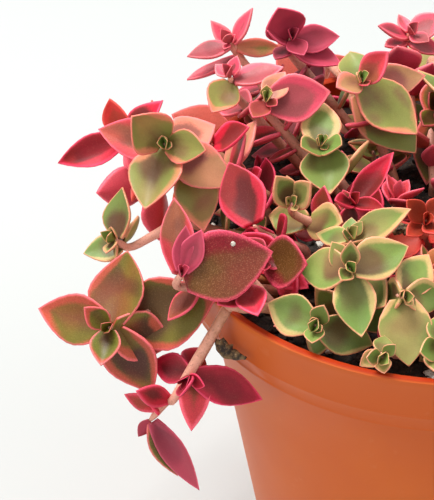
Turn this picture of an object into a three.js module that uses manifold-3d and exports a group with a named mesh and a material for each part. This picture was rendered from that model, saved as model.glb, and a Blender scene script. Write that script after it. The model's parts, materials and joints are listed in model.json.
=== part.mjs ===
// Potted calico kitten crassula: a trailing succulent with opposite, pink-edged leaves in a 12 cm pot.
// Millimetres, +Z up. The origin is the centre of the pot's flat bottom, and the front faces -Y.
import * as THREE from 'three';
import { mergeVertices } from 'three/addons/utils/BufferGeometryUtils.js';
import Module from 'manifold-3d';

const wasm = await Module();
wasm.setup();

// Driving dimensions of the pot, the soil and the plant
const POT = {
  height: 100,
  rimRadius: 60,
  lipWidth: 2,
  collarRadius: 56.8,
  collarDepth: 15.2,
  collarBend: 10.6,
  collarBendRadius: 58.4,
  wallTopRadius: 52.6,
  baseRadius: 37.3,
  wall: 1.4,
  footRound: 1.5,
  sides: 28,
};
const DRAINAGE = { holes: 6, ringRadius: 24, holeRadius: 4, sides: 6 };
const SOIL = {
  top: 94,
  rimDrop: 1.5,
  relief: 1.1,
  gap: 0.3,
  topRings: 2,
  stemHoleRadius: 1.85,
  stemHoleSides: 5,
  holeLength: 40,
};
const STEM = { radius: 1.2, sides: 4, buried: 8, ringSpacing: 6, apart: 1.9, straightEnd: 6 };
const LEAF = {
  thickness: 1.3,
  smallest: 4,
  base: 0.13,
  wide: 0.8,
  cup: 0.35,
  curl: -0.25,
  sink: 0.5,
};
const WITHERED = {
  down: 14,
  gap: 0.75,
  along: [0.73, -0.68, 0.05],
  length: 7.2,
  width: 3.4,
  thickness: 0.9,
  cup: 1,
  curl: 0.5,
};
const CLEAR = { thickness: 0.75, edge: 0.4 };
const LOWER_LEAVES = { pairs: 1, step: 9, length: 12.5, open: 82, soilClearance: 7 };

// The viewer stands in front and looks down at this angle: leaves are aimed by what the viewer sees
const LOOK_DOWN = THREE.MathUtils.degToRad(36);
const VIEW_RIGHT = new THREE.Vector3(1, 0, 0);
const VIEW_UP = new THREE.Vector3(0, Math.sin(LOOK_DOWN), Math.cos(LOOK_DOWN));
const VIEW_AWAY = new THREE.Vector3(0, Math.cos(LOOK_DOWN), -Math.sin(LOOK_DOWN));

const COLOURS = {
  pot: 0xc8653b,
  soil: 0x3a2b22,
  green: 0x8a9a5c,
  rose: 0xb8505e,
  withered: 0x6b5136,
};

// A leaf of a shoot that shows in front: where it points on the viewer's clock (degrees from up, to the
// right), how far it leans away from the viewer (degrees), and its length (mm)
const seen = (clock, lean, length, options = {}) => ({ clock, lean, length, ...options });

// A leaf set by rule: its turn round the stem, its opening from the stem's axis (degrees) and its length (mm)
const set = (turn, open, length, options = {}) => ({ turn, open, length, ...options });

// Shoots that show in front. Each has its place in the soil, the points its stem passes, its tip, the way
// that its tip faces (degrees to the right of the front, and up), and its leaves in pairs from the tip down,
// each pair after a step along the stem (mm).
const FRONT_SHOOTS = [
  {
    name: 'front_left', root: [-38, -22], via: [[-50, -36, 105]], tip: [-72, -39, 98],
    facing: [-12, 36], blush: 0.45,
    pairs: [
      [0.5, seen(-50, -15, 6.5), seen(-170, -25, 8.5)],
      [1, seen(-75, 20, 15.5, { wide: 0.72 }), seen(105, 30, 13.5, { wide: 0.85 })],
      [1.6, seen(15, 20, 16, { wide: 0.84 }), seen(145, 20, 16)],
      [4.5, seen(75, 0, 20, { front: true })],
    ],
  },
  {
    name: 'upper_left', root: [-33, 4], via: [[-48, 0, 114]], tip: [-61, -4, 120],
    facing: [-8, 40], blush: 0.4,
    pairs: [
      [0.3, seen(-20, -55, 2.5), seen(110, -55, 2.5)],
      [0.9, seen(-50, -40, 12, { wide: 0.9 }), seen(100, -30, 10.5, { wide: 0.75 })],
      [1.6, seen(-165, -20, 15.5), seen(70, 35, 12.5)],
      [2.4, seen(-75, 20, 15.5, { wide: 0.6, front: true }),
       seen(120, 0, 16.5, { wide: 0.62, front: true })],
      [7, seen(170, 0, 15.5, { wide: 0.65, front: true })],
    ],
  },
  {
    name: 'upper_left_back', root: [-36, 14], via: [[-54, 12, 110]], tip: [-71, 10, 113],
    facing: [-35, 50], blush: 1,
    pairs: [
      [0.5, seen(-15, -15, 8.5, { wide: 0.75 }), seen(180, 60, 5)],
      [1.5, seen(-110, 5, 15, { wide: 0.5, front: true }), seen(50, 0, 11.5, { wide: 0.6 })],
    ],
  },
  {
    name: 'left_green', root: [-41, -6], via: [[-58, -10, 104]], tip: [-72, -12, 101],
    facing: [-50, 45], blush: 0.2,
    pairs: [
      [0.3, seen(-15, -45, 3.5), seen(-155, -45, 4.5)],
      [1.2, seen(10, 5, 11, { wide: 0.75 }), seen(-165, 40, 5.5)],
      [2.2, seen(-105, 0, 8.5), seen(40, 45, 9)],
    ],
  },
  {
    name: 'middle', root: [-34, -25], via: [[-48, -34, 106]], tip: [-57, -38, 111],
    facing: [20, 60], blush: 0.75,
    pairs: [
      [0.3, seen(25, 0, 9.5, { wide: 0.6, blush: 1 }), seen(5, 0, 9.5, { wide: 0.5, blush: 1 })],
      [1, seen(-5, 25, 16.5, { wide: 0.5, cup: 0.9, front: true }), seen(75, 0, 19, { front: true })],
    ],
  },
  {
    name: 'centre_left', root: [-27, -20], via: [], tip: [-40, -30, 109], facing: [10, 50], blush: 0.75,
    pairs: [
      [0.3, seen(115, -10, 4, { blush: 1 }), seen(180, -50, 3.5, { blush: 1 })],
      [1.2, seen(95, -35, 11, { wide: 1.05, front: true, blush: 0.6 }), seen(-40, 40, 6.5)],
      [1.6, seen(120, 10, 10.5, { wide: 0.6, front: true, blush: 1 }), seen(-135, 35, 8.5, { blush: 1 })],
    ],
  },
  {
    name: 'red_upright', root: [-31, -12], via: [], tip: [-42, -17, 108], facing: [-30, 50], blush: 1,
    pairs: [
      [0.5, seen(-20, 25, 15, { wide: 0.72 }), seen(150, 60, 6)],
    ],
  },
  {
    name: 'low_middle', root: [-36, -33], via: [], tip: [-44, -37, 107], facing: [-10, 20], blush: 1,
    pairs: [
      [0.5, seen(160, -40, 8.5, { front: true }), seen(-45, -10, 6.5)],
      [2, seen(-125, 0, 8, { front: true })],
    ],
  },
  {
    name: 'hanging', root: [-29, -36], via: [[-44, -46, 105], [-50, -46, 101]], tip: [-56, -43, 88],
    facing: [-20, 10], blush: 1,
    pairs: [
      [0.5, seen(115, -35, 4.5), seen(-160, -50, 6.5)],
      [1.5, seen(110, 20, 16, { wide: 0.52, front: true }), seen(-75, 30, 8.5, { front: true })],
      [2.5, seen(-175, -5, 13, { wide: 0.65, front: true, blush: 0.7 }), seen(20, 55, 8.5)],
    ],
    branch: {
      leaves: 0.72, via: [[-59, -43, 82]], tip: [-64, -44, 77], facing: [-60, -40], blush: 1,
      pairs: [
        [0.5, seen(145, -5, 17.5, { wide: 0.42, front: true }),
         seen(155, 0, 12.5, { wide: 0.5, front: true, blush: 0.2 })],
        [2.5, seen(-65, 0, 7.5, { wide: 0.5, front: true, blush: 0.6 }),
         seen(-30, -60, 5.5, { blush: 0.8 })],
        [4, seen(-70, -45, 11, { wide: 0.45, front: true, blush: 0.9 })],
      ],
    },
  },
  {
    name: 'top_left', root: [-26, 27], via: [], tip: [-47, 35, 122], facing: [-50, 60], blush: 1,
    pairs: [
      [0.3, seen(35, -50, 2.5), seen(-145, -40, 2.5)],
      [0.9, seen(35, -20, 9.5, { wide: 0.5 }), seen(-110, -5, 10, { wide: 0.6 })],
      [1.6, seen(-40, 5, 8, { wide: 0.5 }), seen(90, 20, 11.5, { wide: 0.4, front: true, blush: 0.4 })],
      [3, seen(-120, 0, 12.5, { wide: 0.4 })],
    ],
  },
  {
    name: 'top_middle', root: [-15, 30], via: [], tip: [-33, 35, 123], facing: [10, 60], blush: 1,
    pairs: [
      [0.5, seen(-25, -40, 9.5, { wide: 1.05, front: true }), seen(150, -40, 6.5)],
      [1, seen(-75, -40, 7.5, { wide: 0.6 }), seen(85, 5, 10.5, { wide: 0.65, front: true })],
      [2, seen(-145, -40, 7.5, { wide: 0.6 }), seen(115, 0, 12, { wide: 0.6 })],
    ],
  },
  {
    name: 'top_low', root: [-30, 20], via: [], tip: [-47, 22, 121], facing: [-30, 70], blush: 1,
    pairs: [
      [0.5, seen(20, 5, 4.5), seen(-50, 35, 4.5)],
      [1.5, seen(80, 5, 11.5, { wide: 0.6 }), seen(-150, -30, 10, { front: true, blush: 0.2 })],
    ],
  },
  {
    name: 'centre_rosette', root: [-23, 12], via: [], tip: [-39, 14, 120], facing: [5, 55], blush: 0.7,
    pairs: [
      [0.3, seen(0, -40, 3.5), seen(125, -45, 3.5)],
      [0.9, seen(35, 30, 8), seen(-145, -40, 6.5)],
      [1.6, seen(-60, 60, 6.5, { blush: 0.2 }), seen(80, 5, 14, { front: true })],
    ],
  },
  {
    name: 'right_top', root: [-10, 16], via: [], tip: [-18, 19, 122], facing: [5, 52], blush: 0.6,
    pairs: [
      [0.3, seen(-55, -70, 3.5), seen(145, -60, 3.5)],
      [0.9, seen(-110, -40, 8), seen(45, -35, 10, { wide: 0.7 })],
      [1.6, seen(-15, 50, 10), seen(135, 0, 16.5, { wide: 0.75, blush: 0.3 })],
      [3, seen(80, 0, 14.5, { wide: 0.6, front: true, blush: 0.5 }),
       seen(140, 0, 19, { wide: 0.7, front: true, blush: 0.2 })],
    ],
  },
  {
    name: 'far_right', root: [-4, 36], via: [], tip: [-5, 49, 116], facing: [20, 60], blush: 1,
    pairs: [
      [0.5, seen(-30, 35, 5.5, { wide: 0.6 }), seen(120, -35, 5.5)],
      [1.2, seen(-80, -35, 9.5, { wide: 0.5 }), seen(60, 0, 9)],
      [2, seen(-115, -45, 8.5, { wide: 0.5 }), seen(115, 0, 8.5)],
    ],
  },
  {
    name: 'inner_green', root: [-18, 3], via: [], tip: [-27, 7, 113], facing: [5, 58], blush: 0.12,
    pairs: [
      [0.3, seen(-45, -60, 2.5), seen(145, -55, 2.5)],
      [0.9, seen(-100, -45, 6.5, { wide: 1 }), seen(95, -50, 6.5, { wide: 1 })],
      [1.6, seen(5, 35, 11, { wide: 0.85 }), seen(170, -30, 12.5, { wide: 0.9, front: true })],
    ],
  },
  {
    name: 'inner_green_low', root: [-23, -7], via: [], tip: [-34, -16, 113], facing: [-5, 55], blush: 0.2,
    pairs: [
      [0.3, seen(-45, -50, 2.5), seen(155, -55, 2.5)],
      [0.9, seen(-40, -35, 8.5, { wide: 0.75 }), seen(40, -45, 8.5, { wide: 0.75 })],
      [1.6, seen(160, -35, 7.5, { wide: 1.15, front: true }), seen(-10, 0, 6.5)],
    ],
  },
  {
    name: 'front_green', root: [-21, -33], via: [], tip: [-30, -46, 104], facing: [-10, 35], blush: 0.1,
    pairs: [
      [0.3, seen(-25, -55, 2.5), seen(140, -60, 2.5)],
      [0.9, seen(20, -40, 5.5), seen(-165, -50, 5.5)],
      [1.6, seen(-75, 35, 11.5, { wide: 0.85, front: true }),
       seen(110, 25, 12.5, { wide: 0.7, front: true })],
    ],
  },
  {
    name: 'front_middle', root: [-15, -26], via: [], tip: [-23, -39, 113], facing: [0, 45], blush: 0.3,
    pairs: [
      [0.3, seen(0, -25, 6, { wide: 0.7 }), seen(-140, -50, 4.5)],
      [0.9, seen(-90, 35, 11.5), seen(70, 15, 12.5, { wide: 0.75 })],
      [2.5, seen(170, -10, 13.5, { wide: 0.68, front: true }), seen(-30, 0, 6.5)],
    ],
  },
  {
    name: 'front_right', root: [-6, -31], via: [], tip: [-12, -43, 109], facing: [10, 35], blush: 0.15,
    pairs: [
      [0.3, seen(-45, -65, 2.5), seen(140, -35, 2.5)],
      [0.9, seen(-85, 45, 9, { wide: 0.95 }), seen(90, 35, 9.5)],
      [1.6, seen(175, 0, 14), seen(35, 30, 10.5)],
    ],
  },
  {
    name: 'front_edge', root: [-13, -42], via: [], tip: [-17, -55, 103], facing: [0, 30], blush: 0.1,
    pairs: [
      [0.5, seen(45, -25, 3.5), seen(-90, -45, 4.5)],
      [1.5, seen(175, -45, 4.5), seen(15, 60, 5.5)],
    ],
  },
  {
    name: 'corner_green', root: [-2, -41], via: [], tip: [-5, -53, 104], facing: [10, 40], blush: 0.2,
    pairs: [
      [0.5, seen(-35, -40, 2.5), seen(175, -55, 2.5)],
      [1.2, seen(-100, -45, 6.5), seen(60, -60, 7.5)],
      [1.5, seen(180, -35, 8.5), seen(15, 55, 8.5)],
    ],
  },
  {
    name: 'low_edge_on', root: [-17, -16], via: [], tip: [-22, -25, 111], facing: [0, 62], blush: 0.25,
    pairs: [
      [0.5, seen(35, -5, 3.5), seen(-60, -55, 3.5)],
      [1.2, seen(-85, 45, 8.5, { wide: 0.6 }), seen(65, -15, 14, { wide: 0.5 })],
      [1.5, seen(170, -75, 6.5), seen(5, 35, 5.5)],
    ],
  },
  {
    name: 'inner_red', root: [-14, -4], via: [], tip: [-21, -11, 110], facing: [10, 60], blush: 1,
    pairs: [
      [0.5, seen(-110, -30, 8.5, { wide: 0.6, cup: 0.8 }), seen(105, -40, 8.5, { wide: 0.5, cup: 0.8 })],
      [1.5, seen(40, 0, 14, { wide: 0.45, cup: 0.8 }), seen(-170, 0, 6)],
    ],
  },
  {
    name: 'right_red', root: [-4, -9], via: [], tip: [-6, -18, 110], facing: [10, 50], blush: 1,
    pairs: [
      [0.5, seen(-45, -25, 6.5), seen(140, -50, 5.5)],
      [1.2, seen(-125, -40, 6.5, { wide: 0.6 }), seen(50, 20, 7.5)],
    ],
  },
  {
    name: 'pink_pair', root: [-39, 4], via: [], tip: [-51, 2, 116], facing: [-20, 60], blush: 0.9,
    pairs: [
      [0.5, seen(80, -30, 12, { wide: 0.62, cup: 0.7 }), seen(-40, 25, 7.5)],
    ],
  },
  {
    name: 'right_olive', root: [-1, 16], via: [], tip: [0, 26, 110], facing: [20, 50], blush: 0.4,
    pairs: [
      [0.5, seen(-35, -45, 5.5), seen(150, -40, 5.5)],
      [1.5, seen(-140, -50, 8.5, { wide: 0.6 }), seen(70, 40, 8.5)],
      [3, seen(-175, 0, 16, { wide: 0.5, front: true }), seen(15, 20, 9.5)],
    ],
  },
];

// Shoots that the viewer can't see, in rings round the pot's axis: degrees from +X towards +Y, and sizes (mm)
const HIDDEN_RINGS = [
  { name: 'right_rim', count: 7, from: -72, to: 70, radius: 70, height: 101, rise: 32, leaf: 16.5 },
  { name: 'back_rim', count: 4, from: 88, to: 158, radius: 73, height: 91, rise: 10, leaf: 15 },
  { name: 'right_ring', count: 5, from: -64, to: 72, radius: 48, height: 114, rise: 50, leaf: 16.5 },
  { name: 'right_core', count: 4, from: -66, to: 70, radius: 25, height: 120, rise: 68, leaf: 16 },
];
const HIDDEN = { rootShare: 0.62, wander: 2.5, seed: 1207, overRim: 5.5, pastRim: 4.5 };

// One rosette of the hidden shoots, pair by pair: step down the stem (mm), share of the full leaf and opening
const ROSETTE = [
  { step: 0.3, share: 0.24, open: 16 },
  { step: 1.4, share: 0.52, open: 48 },
  { step: 2.2, share: 0.86, open: 68 },
  { step: 3, share: 1, open: 84 },
];

// Ways to move a leaf that would touch another piece: tilt and swing (degrees), then the share of length kept
const MOVES = [
  [0, 0, 1], [7, 0, 1], [-7, 0, 1], [14, 0, 1], [-14, 0, 1], [0, 7, 1], [0, -7, 1], [22, 0, 1], [-22, 0, 1],
  [10, 9, 0.94], [-10, -9, 0.94], [10, -9, 0.94], [-10, 9, 0.94], [0, 0, 0.85], [18, 0, 0.85], [-18, 0, 0.85],
  [30, 0, 0.9], [-30, 0, 0.9], [0, 16, 0.85], [0, -16, 0.85], [0, 0, 0.7], [25, 0, 0.7], [-25, 0, 0.7],
  [0, 22, 0.7], [0, -22, 0.7], [0, 0, 0.55], [35, 0, 0.55], [-35, 0, 0.55],
];

// Seeded random draws
class Draw {
  constructor(seed) {
    this.state = seed >>> 0;
  }

  between(low, high) {
    this.state = (Math.imul(this.state, 1664525) + 1013904223) >>> 0;
    return low + ((high - low) * this.state) / 4294967296;
  }
}

const vector = (point) => new THREE.Vector3(...point);

// The part of a vector that is square to a direction, at length 1
function squareTo(value, direction) {
  return value.clone().addScaledVector(direction, -value.dot(direction)).normalize();
}

// A direction from degrees to the right of the front, and degrees up
function heading(right, up) {
  const a = THREE.MathUtils.degToRad(right);
  const e = THREE.MathUtils.degToRad(up);
  return new THREE.Vector3(Math.sin(a) * Math.cos(e), -Math.cos(a) * Math.cos(e), Math.sin(e));
}

// A closed solid from vertices and triangles, turned inside out where its volume is negative
function solidFrom(vertices, triangles) {
  const volume = triangles.reduce((sum, [a, b, c]) => {
    const cross = new THREE.Vector3().crossVectors(vertices[b], vertices[c]);
    return sum + vertices[a].dot(cross);
  }, 0);
  const outward = volume > 0 ? triangles : triangles.map(([a, b, c]) => [a, c, b]);
  const mesh = new wasm.Mesh({
    numProp: 3,
    vertProperties: Float32Array.from(vertices.flatMap((v) => [v.x, v.y, v.z])),
    triVerts: Uint32Array.from(outward.flat()),
  });
  return new wasm.Manifold(mesh);
}

// A three.js geometry as a solid
function solidOf(geometry) {
  const bare = geometry.clone();
  bare.deleteAttribute('normal');
  bare.deleteAttribute('uv');
  const merged = mergeVertices(bare, 1e-3);
  const position = merged.getAttribute('position');
  const vertices = [];
  for (let i = 0; i < position.count; i += 1) {
    vertices.push(new THREE.Vector3().fromBufferAttribute(position, i));
  }
  const triangles = [];
  for (let i = 0; i < merged.index.count; i += 3) {
    const [a, b, c] = [0, 1, 2].map((k) => merged.index.getX(i + k));
    if (a !== b && b !== c && c !== a) triangles.push([a, b, c]);
  }
  return solidFrom(vertices, triangles);
}

// A solid as a three.js geometry
function geometryOf(solid) {
  const { vertProperties, triVerts } = solid.getMesh();
  const geometry = new THREE.BufferGeometry();
  geometry.setAttribute('position', new THREE.BufferAttribute(Float32Array.from(vertProperties), 3));
  geometry.setIndex(new THREE.BufferAttribute(Uint32Array.from(triVerts), 1));
  geometry.computeVertexNormals();
  return geometry;
}

// A closed skin over rings of points, with a flat start and a flat or pointed end
function loft(rings, point = null) {
  const sides = rings[0].length;
  const vertices = rings.flat();
  const triangles = [];
  for (let r = 0; r + 1 < rings.length; r += 1) {
    for (let k = 0; k < sides; k += 1) {
      const a = r * sides + k;
      const b = r * sides + ((k + 1) % sides);
      triangles.push([a, b, b + sides], [a, b + sides, a + sides]);
    }
  }
  for (let k = 1; k + 1 < sides; k += 1) triangles.push([0, k + 1, k]);
  const last = (rings.length - 1) * sides;
  if (point) {
    vertices.push(point);
    const end = vertices.length - 1;
    for (let k = 0; k < sides; k += 1) triangles.push([last + k, last + ((k + 1) % sides), end]);
  } else {
    for (let k = 1; k + 1 < sides; k += 1) triangles.push([last, last + k, last + k + 1]);
  }
  return solidFrom(vertices, triangles);
}

// A solid of revolution about +Z from [radius, height] points
function turned(profile, sides) {
  const geometry = new THREE.LatheGeometry(profile.map(([r, z]) => new THREE.Vector2(r, z)), sides);
  geometry.rotateX(Math.PI / 2);
  return geometry;
}

// The pot's outer radius at a height on its wall
function wallRadius(z) {
  const share = z / (POT.height - POT.collarDepth);
  return POT.baseRadius + (POT.wallTopRadius - POT.baseRadius) * share;
}

// Pot with its collar, rolled lip and drainage holes
function potSolid() {
  const top = POT.height;
  const step = top - POT.collarDepth;
  const bend = top - POT.collarBend;
  const profile = [
    [0, 0],
    [POT.baseRadius - POT.footRound, 0],
    [wallRadius(POT.footRound), POT.footRound],
    [POT.wallTopRadius, step],
    [POT.collarRadius, step],
    [POT.collarBendRadius, bend],
    [POT.rimRadius, top - 0.6],
    [POT.rimRadius - 0.5, top],
    [POT.rimRadius - POT.lipWidth, top],
    [POT.collarBendRadius - POT.wall, bend],
    [POT.collarRadius - POT.wall, step + POT.wall],
    [POT.wallTopRadius - POT.wall, step - POT.wall],
    [wallRadius(POT.wall) - POT.wall, POT.wall],
    [0, POT.wall],
  ];
  let solid = solidOf(turned(profile, POT.sides));
  for (let k = 0; k < DRAINAGE.holes; k += 1) {
    const angle = (k / DRAINAGE.holes) * 2 * Math.PI;
    const { ringRadius, holeRadius, sides } = DRAINAGE;
    const hole = new THREE.CylinderGeometry(holeRadius, holeRadius, 4 * POT.wall, sides);
    hole.rotateX(Math.PI / 2);
    const [x, y] = [ringRadius * Math.cos(angle), ringRadius * Math.sin(angle)];
    hole.translate(x, y, POT.wall / 2);
    solid = solid.subtract(solidOf(hole));
  }
  return solid;
}

// Height of the soil's uneven top
function soilTop(x, y) {
  const r = Math.hypot(x, y) / POT.collarRadius;
  const waves = Math.sin(x * 0.31 + 1.2) * Math.cos(y * 0.27 - 0.4) + 0.6 * Math.sin(x * 0.11 - y * 0.43);
  return SOIL.top - SOIL.rimDrop * r * r + SOIL.relief * waves * (1 - r * r);
}

// Soil that fills the pot
function soilSolid() {
  const step = POT.height - POT.collarDepth;
  const inset = POT.wall + SOIL.gap;
  const floor = POT.wall + SOIL.gap;
  const edge = SOIL.top - SOIL.rimDrop;
  const edgeRadius = POT.collarBendRadius - inset;
  const profile = [
    [0, floor],
    [wallRadius(floor) - inset, floor],
    [POT.wallTopRadius - inset, step - inset],
    [POT.collarRadius - inset, step + inset],
    [edgeRadius, edge],
  ];
  for (let k = 1; k <= SOIL.topRings; k += 1) {
    profile.push([edgeRadius * (1 - k / SOIL.topRings), edge + 0.01]);
  }
  const geometry = turned(profile, POT.sides);
  const position = geometry.getAttribute('position');
  for (let i = 0; i < position.count; i += 1) {
    if (position.getZ(i) > edge + 0.005) position.setZ(i, soilTop(position.getX(i), position.getY(i)));
  }
  return solidOf(geometry);
}

// A smooth line through points, in steps of about one ring spacing
function smoothLine(points) {
  const line = [];
  for (let i = 0; i + 1 < points.length; i += 1) {
    const [p1, p2] = [points[i], points[i + 1]];
    const p0 = points[i - 1] ?? p1.clone().multiplyScalar(2).sub(p2);
    const p3 = points[i + 2] ?? p2.clone().multiplyScalar(2).sub(p1);
    const steps = Math.max(1, Math.round(p1.distanceTo(p2) / STEM.ringSpacing));
    for (let k = 0; k < steps; k += 1) {
      const t = k / steps;
      line.push(new THREE.Vector3()
        .addScaledVector(p0, -0.5 * t ** 3 + t ** 2 - 0.5 * t)
        .addScaledVector(p1, 1.5 * t ** 3 - 2.5 * t ** 2 + 1)
        .addScaledVector(p2, -1.5 * t ** 3 + 2 * t ** 2 + 0.5 * t)
        .addScaledVector(p3, 0.5 * t ** 3 - 0.5 * t ** 2));
    }
  }
  line.push(points.at(-1).clone());
  return line;
}

// A shoot's stem line, from its buried end or its parent's stem to its tip
function stemLine(shoot, parentLine = null) {
  const tip = vector(shoot.tip);
  const neck = tip.clone().addScaledVector(heading(...shoot.facing), -STEM.straightEnd);
  const via = shoot.via.map(vector);
  if (parentLine) {
    const start = parentLine[Math.floor(parentLine.length * shoot.leaves)];
    return smoothLine([start, ...via, neck, tip]);
  }
  const [x, y] = shoot.root;
  const ground = soilTop(x, y);
  const upright = [-STEM.buried, 1, 3.5].map((rise) => new THREE.Vector3(x, y, ground + rise));
  return smoothLine([...upright, ...via, neck, tip]);
}

// Stems that would touch are pushed apart, between their roots and their tips
function spreadStems(shoots) {
  const apart = 2 * STEM.radius + STEM.apart;
  const lines = shoots.map((shoot) => shoot.line);
  for (let round = 0; round < 60; round += 1) {
    for (let i = 0; i < lines.length; i += 1) {
      for (let j = i + 1; j < lines.length; j += 1) pushApart(lines[i], lines[j], apart);
    }
    lines.forEach(relax);
  }
}

const isFree = (line, k) => k >= 4 && k < line.length - 2;

// Push the closest points of two lines apart
function pushApart(first, second, apart) {
  for (let a = 2; a < first.length; a += 1) {
    for (let b = 2; b < second.length; b += 1) {
      const offset = first[a].clone().sub(second[b]);
      const distance = offset.length();
      if (distance < apart && distance > 1e-6) {
        const push = (0.25 * (apart - distance)) / distance;
        if (isFree(first, a)) first[a].addScaledVector(offset, push);
        if (isFree(second, b)) second[b].addScaledVector(offset, -push);
      }
    }
  }
}

// Keep a line smooth, above the soil and over the rim
function relax(line) {
  for (let k = 0; k < line.length; k += 1) {
    if (isFree(line, k)) {
      const middle = line[k - 1].clone().add(line[k + 1]).multiplyScalar(0.5);
      line[k].lerp(middle, 0.25);
      const r = Math.hypot(line[k].x, line[k].y);
      if (r < 53) line[k].z = Math.max(line[k].z, SOIL.top + 3);
      else if (r < 62.5) line[k].z = Math.max(line[k].z, POT.height + 2.5);
    }
  }
}

// Direction of a line at one of its points, towards the tip
function lineDirection(line, k) {
  const before = line[Math.max(0, k - 1)];
  const after = line[Math.min(line.length - 1, k + 1)];
  return after.clone().sub(before).normalize();
}

// A stem along a line
function stemSolid(line) {
  const rings = [];
  let side = squareTo(VIEW_RIGHT, lineDirection(line, 0));
  line.forEach((point, k) => {
    const direction = lineDirection(line, k);
    side = squareTo(side, direction);
    const across = new THREE.Vector3().crossVectors(direction, side);
    const ring = [];
    for (let s = 0; s < STEM.sides; s += 1) {
      const angle = (s / STEM.sides) * 2 * Math.PI;
      ring.push(point.clone()
        .addScaledVector(side, STEM.radius * Math.cos(angle))
        .addScaledVector(across, STEM.radius * Math.sin(angle)));
    }
    rings.push(ring);
  });
  return loft(rings);
}

// Place and direction towards the tip on a stem, a distance down from the tip
function stationAt(line, down) {
  let left = down;
  for (let k = line.length - 1; k > 0; k -= 1) {
    const length = line[k].distanceTo(line[k - 1]);
    if (length >= left || k === 1) {
      const share = Math.min(1, left / length);
      const point = line[k].clone().lerp(line[k - 1], share);
      const direction = lineDirection(line, k).lerp(lineDirection(line, k - 1), share).normalize();
      return { point, direction };
    }
    left -= length;
  }
  return { point: line[0].clone(), direction: lineDirection(line, 0) };
}

// Where a leaf starts, where it points and where its upper face looks
function leafPose(leaf, station) {
  let along;
  let towards = station.direction;
  if ('clock' in leaf) {
    const clock = THREE.MathUtils.degToRad(leaf.clock);
    const lean = THREE.MathUtils.degToRad(leaf.lean);
    along = VIEW_UP.clone().multiplyScalar(Math.cos(clock) * Math.cos(lean))
      .addScaledVector(VIEW_RIGHT, Math.sin(clock) * Math.cos(lean))
      .addScaledVector(VIEW_AWAY, Math.sin(lean));
    if (leaf.front) towards = VIEW_AWAY.clone().negate();
  } else {
    const steep = Math.abs(station.direction.z) > 0.9;
    const reference = steep ? new THREE.Vector3(0, 1, 0) : new THREE.Vector3(0, 0, 1);
    const up = squareTo(reference, station.direction);
    const right = new THREE.Vector3().crossVectors(up, station.direction);
    const turn = THREE.MathUtils.degToRad(leaf.turn);
    const open = THREE.MathUtils.degToRad(leaf.open);
    const out = up.multiplyScalar(Math.cos(turn)).addScaledVector(right, Math.sin(turn));
    along = station.direction.clone().multiplyScalar(Math.cos(open)).addScaledVector(out, Math.sin(open));
  }
  const face = squareTo(towards, along);
  const out = squareTo(along, station.direction);
  return { base: station.point.clone().addScaledVector(out, STEM.radius * LEAF.sink), along, face };
}

// A leaf's pose after one of the moves
function movedPose(pose, [tilt, swing]) {
  const side = new THREE.Vector3().crossVectors(pose.along, pose.face);
  const along = pose.along.clone().applyAxisAngle(side, THREE.MathUtils.degToRad(tilt));
  along.applyAxisAngle(pose.face, THREE.MathUtils.degToRad(swing));
  return { base: pose.base, along, face: squareTo(pose.face, along) };
}

// Half the width of a leaf along its length, as a share of its full half width
function outline(s) {
  const widest = 0.4;
  if (s < widest) return LEAF.base + (1 - LEAF.base) * Math.sin((s / widest) * (Math.PI / 2));
  return Math.cos(((s - widest) / (1 - widest)) * (Math.PI / 2)) ** 0.8;
}

// A point on a leaf's middle surface: s runs from base to tip, t across from -1 to 1
function leafPoint(pose, size, s, t) {
  const side = new THREE.Vector3().crossVectors(pose.along, pose.face);
  const bend = size.curl * s;
  const arm = size.length / size.curl;
  const half = (size.width / 2) * outline(s);
  const lift = half / size.cup;
  const x = arm * Math.sin(bend);
  const drop = -arm * (1 - Math.cos(bend));
  const y = lift * Math.sin(size.cup * t);
  const rise = lift * (1 - Math.cos(size.cup * t));
  return pose.base.clone()
    .addScaledVector(pose.along, x + rise * Math.sin(bend))
    .addScaledVector(side, y)
    .addScaledVector(pose.face, drop + rise * Math.cos(bend));
}

// A leaf as a slim closed blade, flat on top and keeled below, grown by the extra where room is tested
function leafSolid(pose, size, extra = { thickness: 0, edge: 0 }) {
  const stations = [0, 0.28, 0.7];
  const grown = { ...size, length: size.length + extra.edge, width: size.width + 2 * extra.edge };
  const rise = pose.face.clone().multiplyScalar(extra.thickness / 2);
  const keel = pose.face.clone().multiplyScalar(-(size.thickness + extra.thickness) / 2);
  const rings = stations.map((s) => [
    leafPoint(pose, grown, s, -1).add(rise),
    leafPoint(pose, grown, s, 1).add(rise),
    leafPoint(pose, grown, s, 0).add(keel),
  ]);
  return loft(rings, leafPoint(pose, grown, 1, 0));
}

// A leaf's sizes from its length
function leafSize(leaf, share) {
  const length = leaf.length * share;
  return {
    length,
    width: length * (leaf.wide ?? LEAF.wide),
    thickness: LEAF.thickness,
    cup: leaf.cup ?? LEAF.cup,
    curl: LEAF.curl,
  };
}

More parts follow.
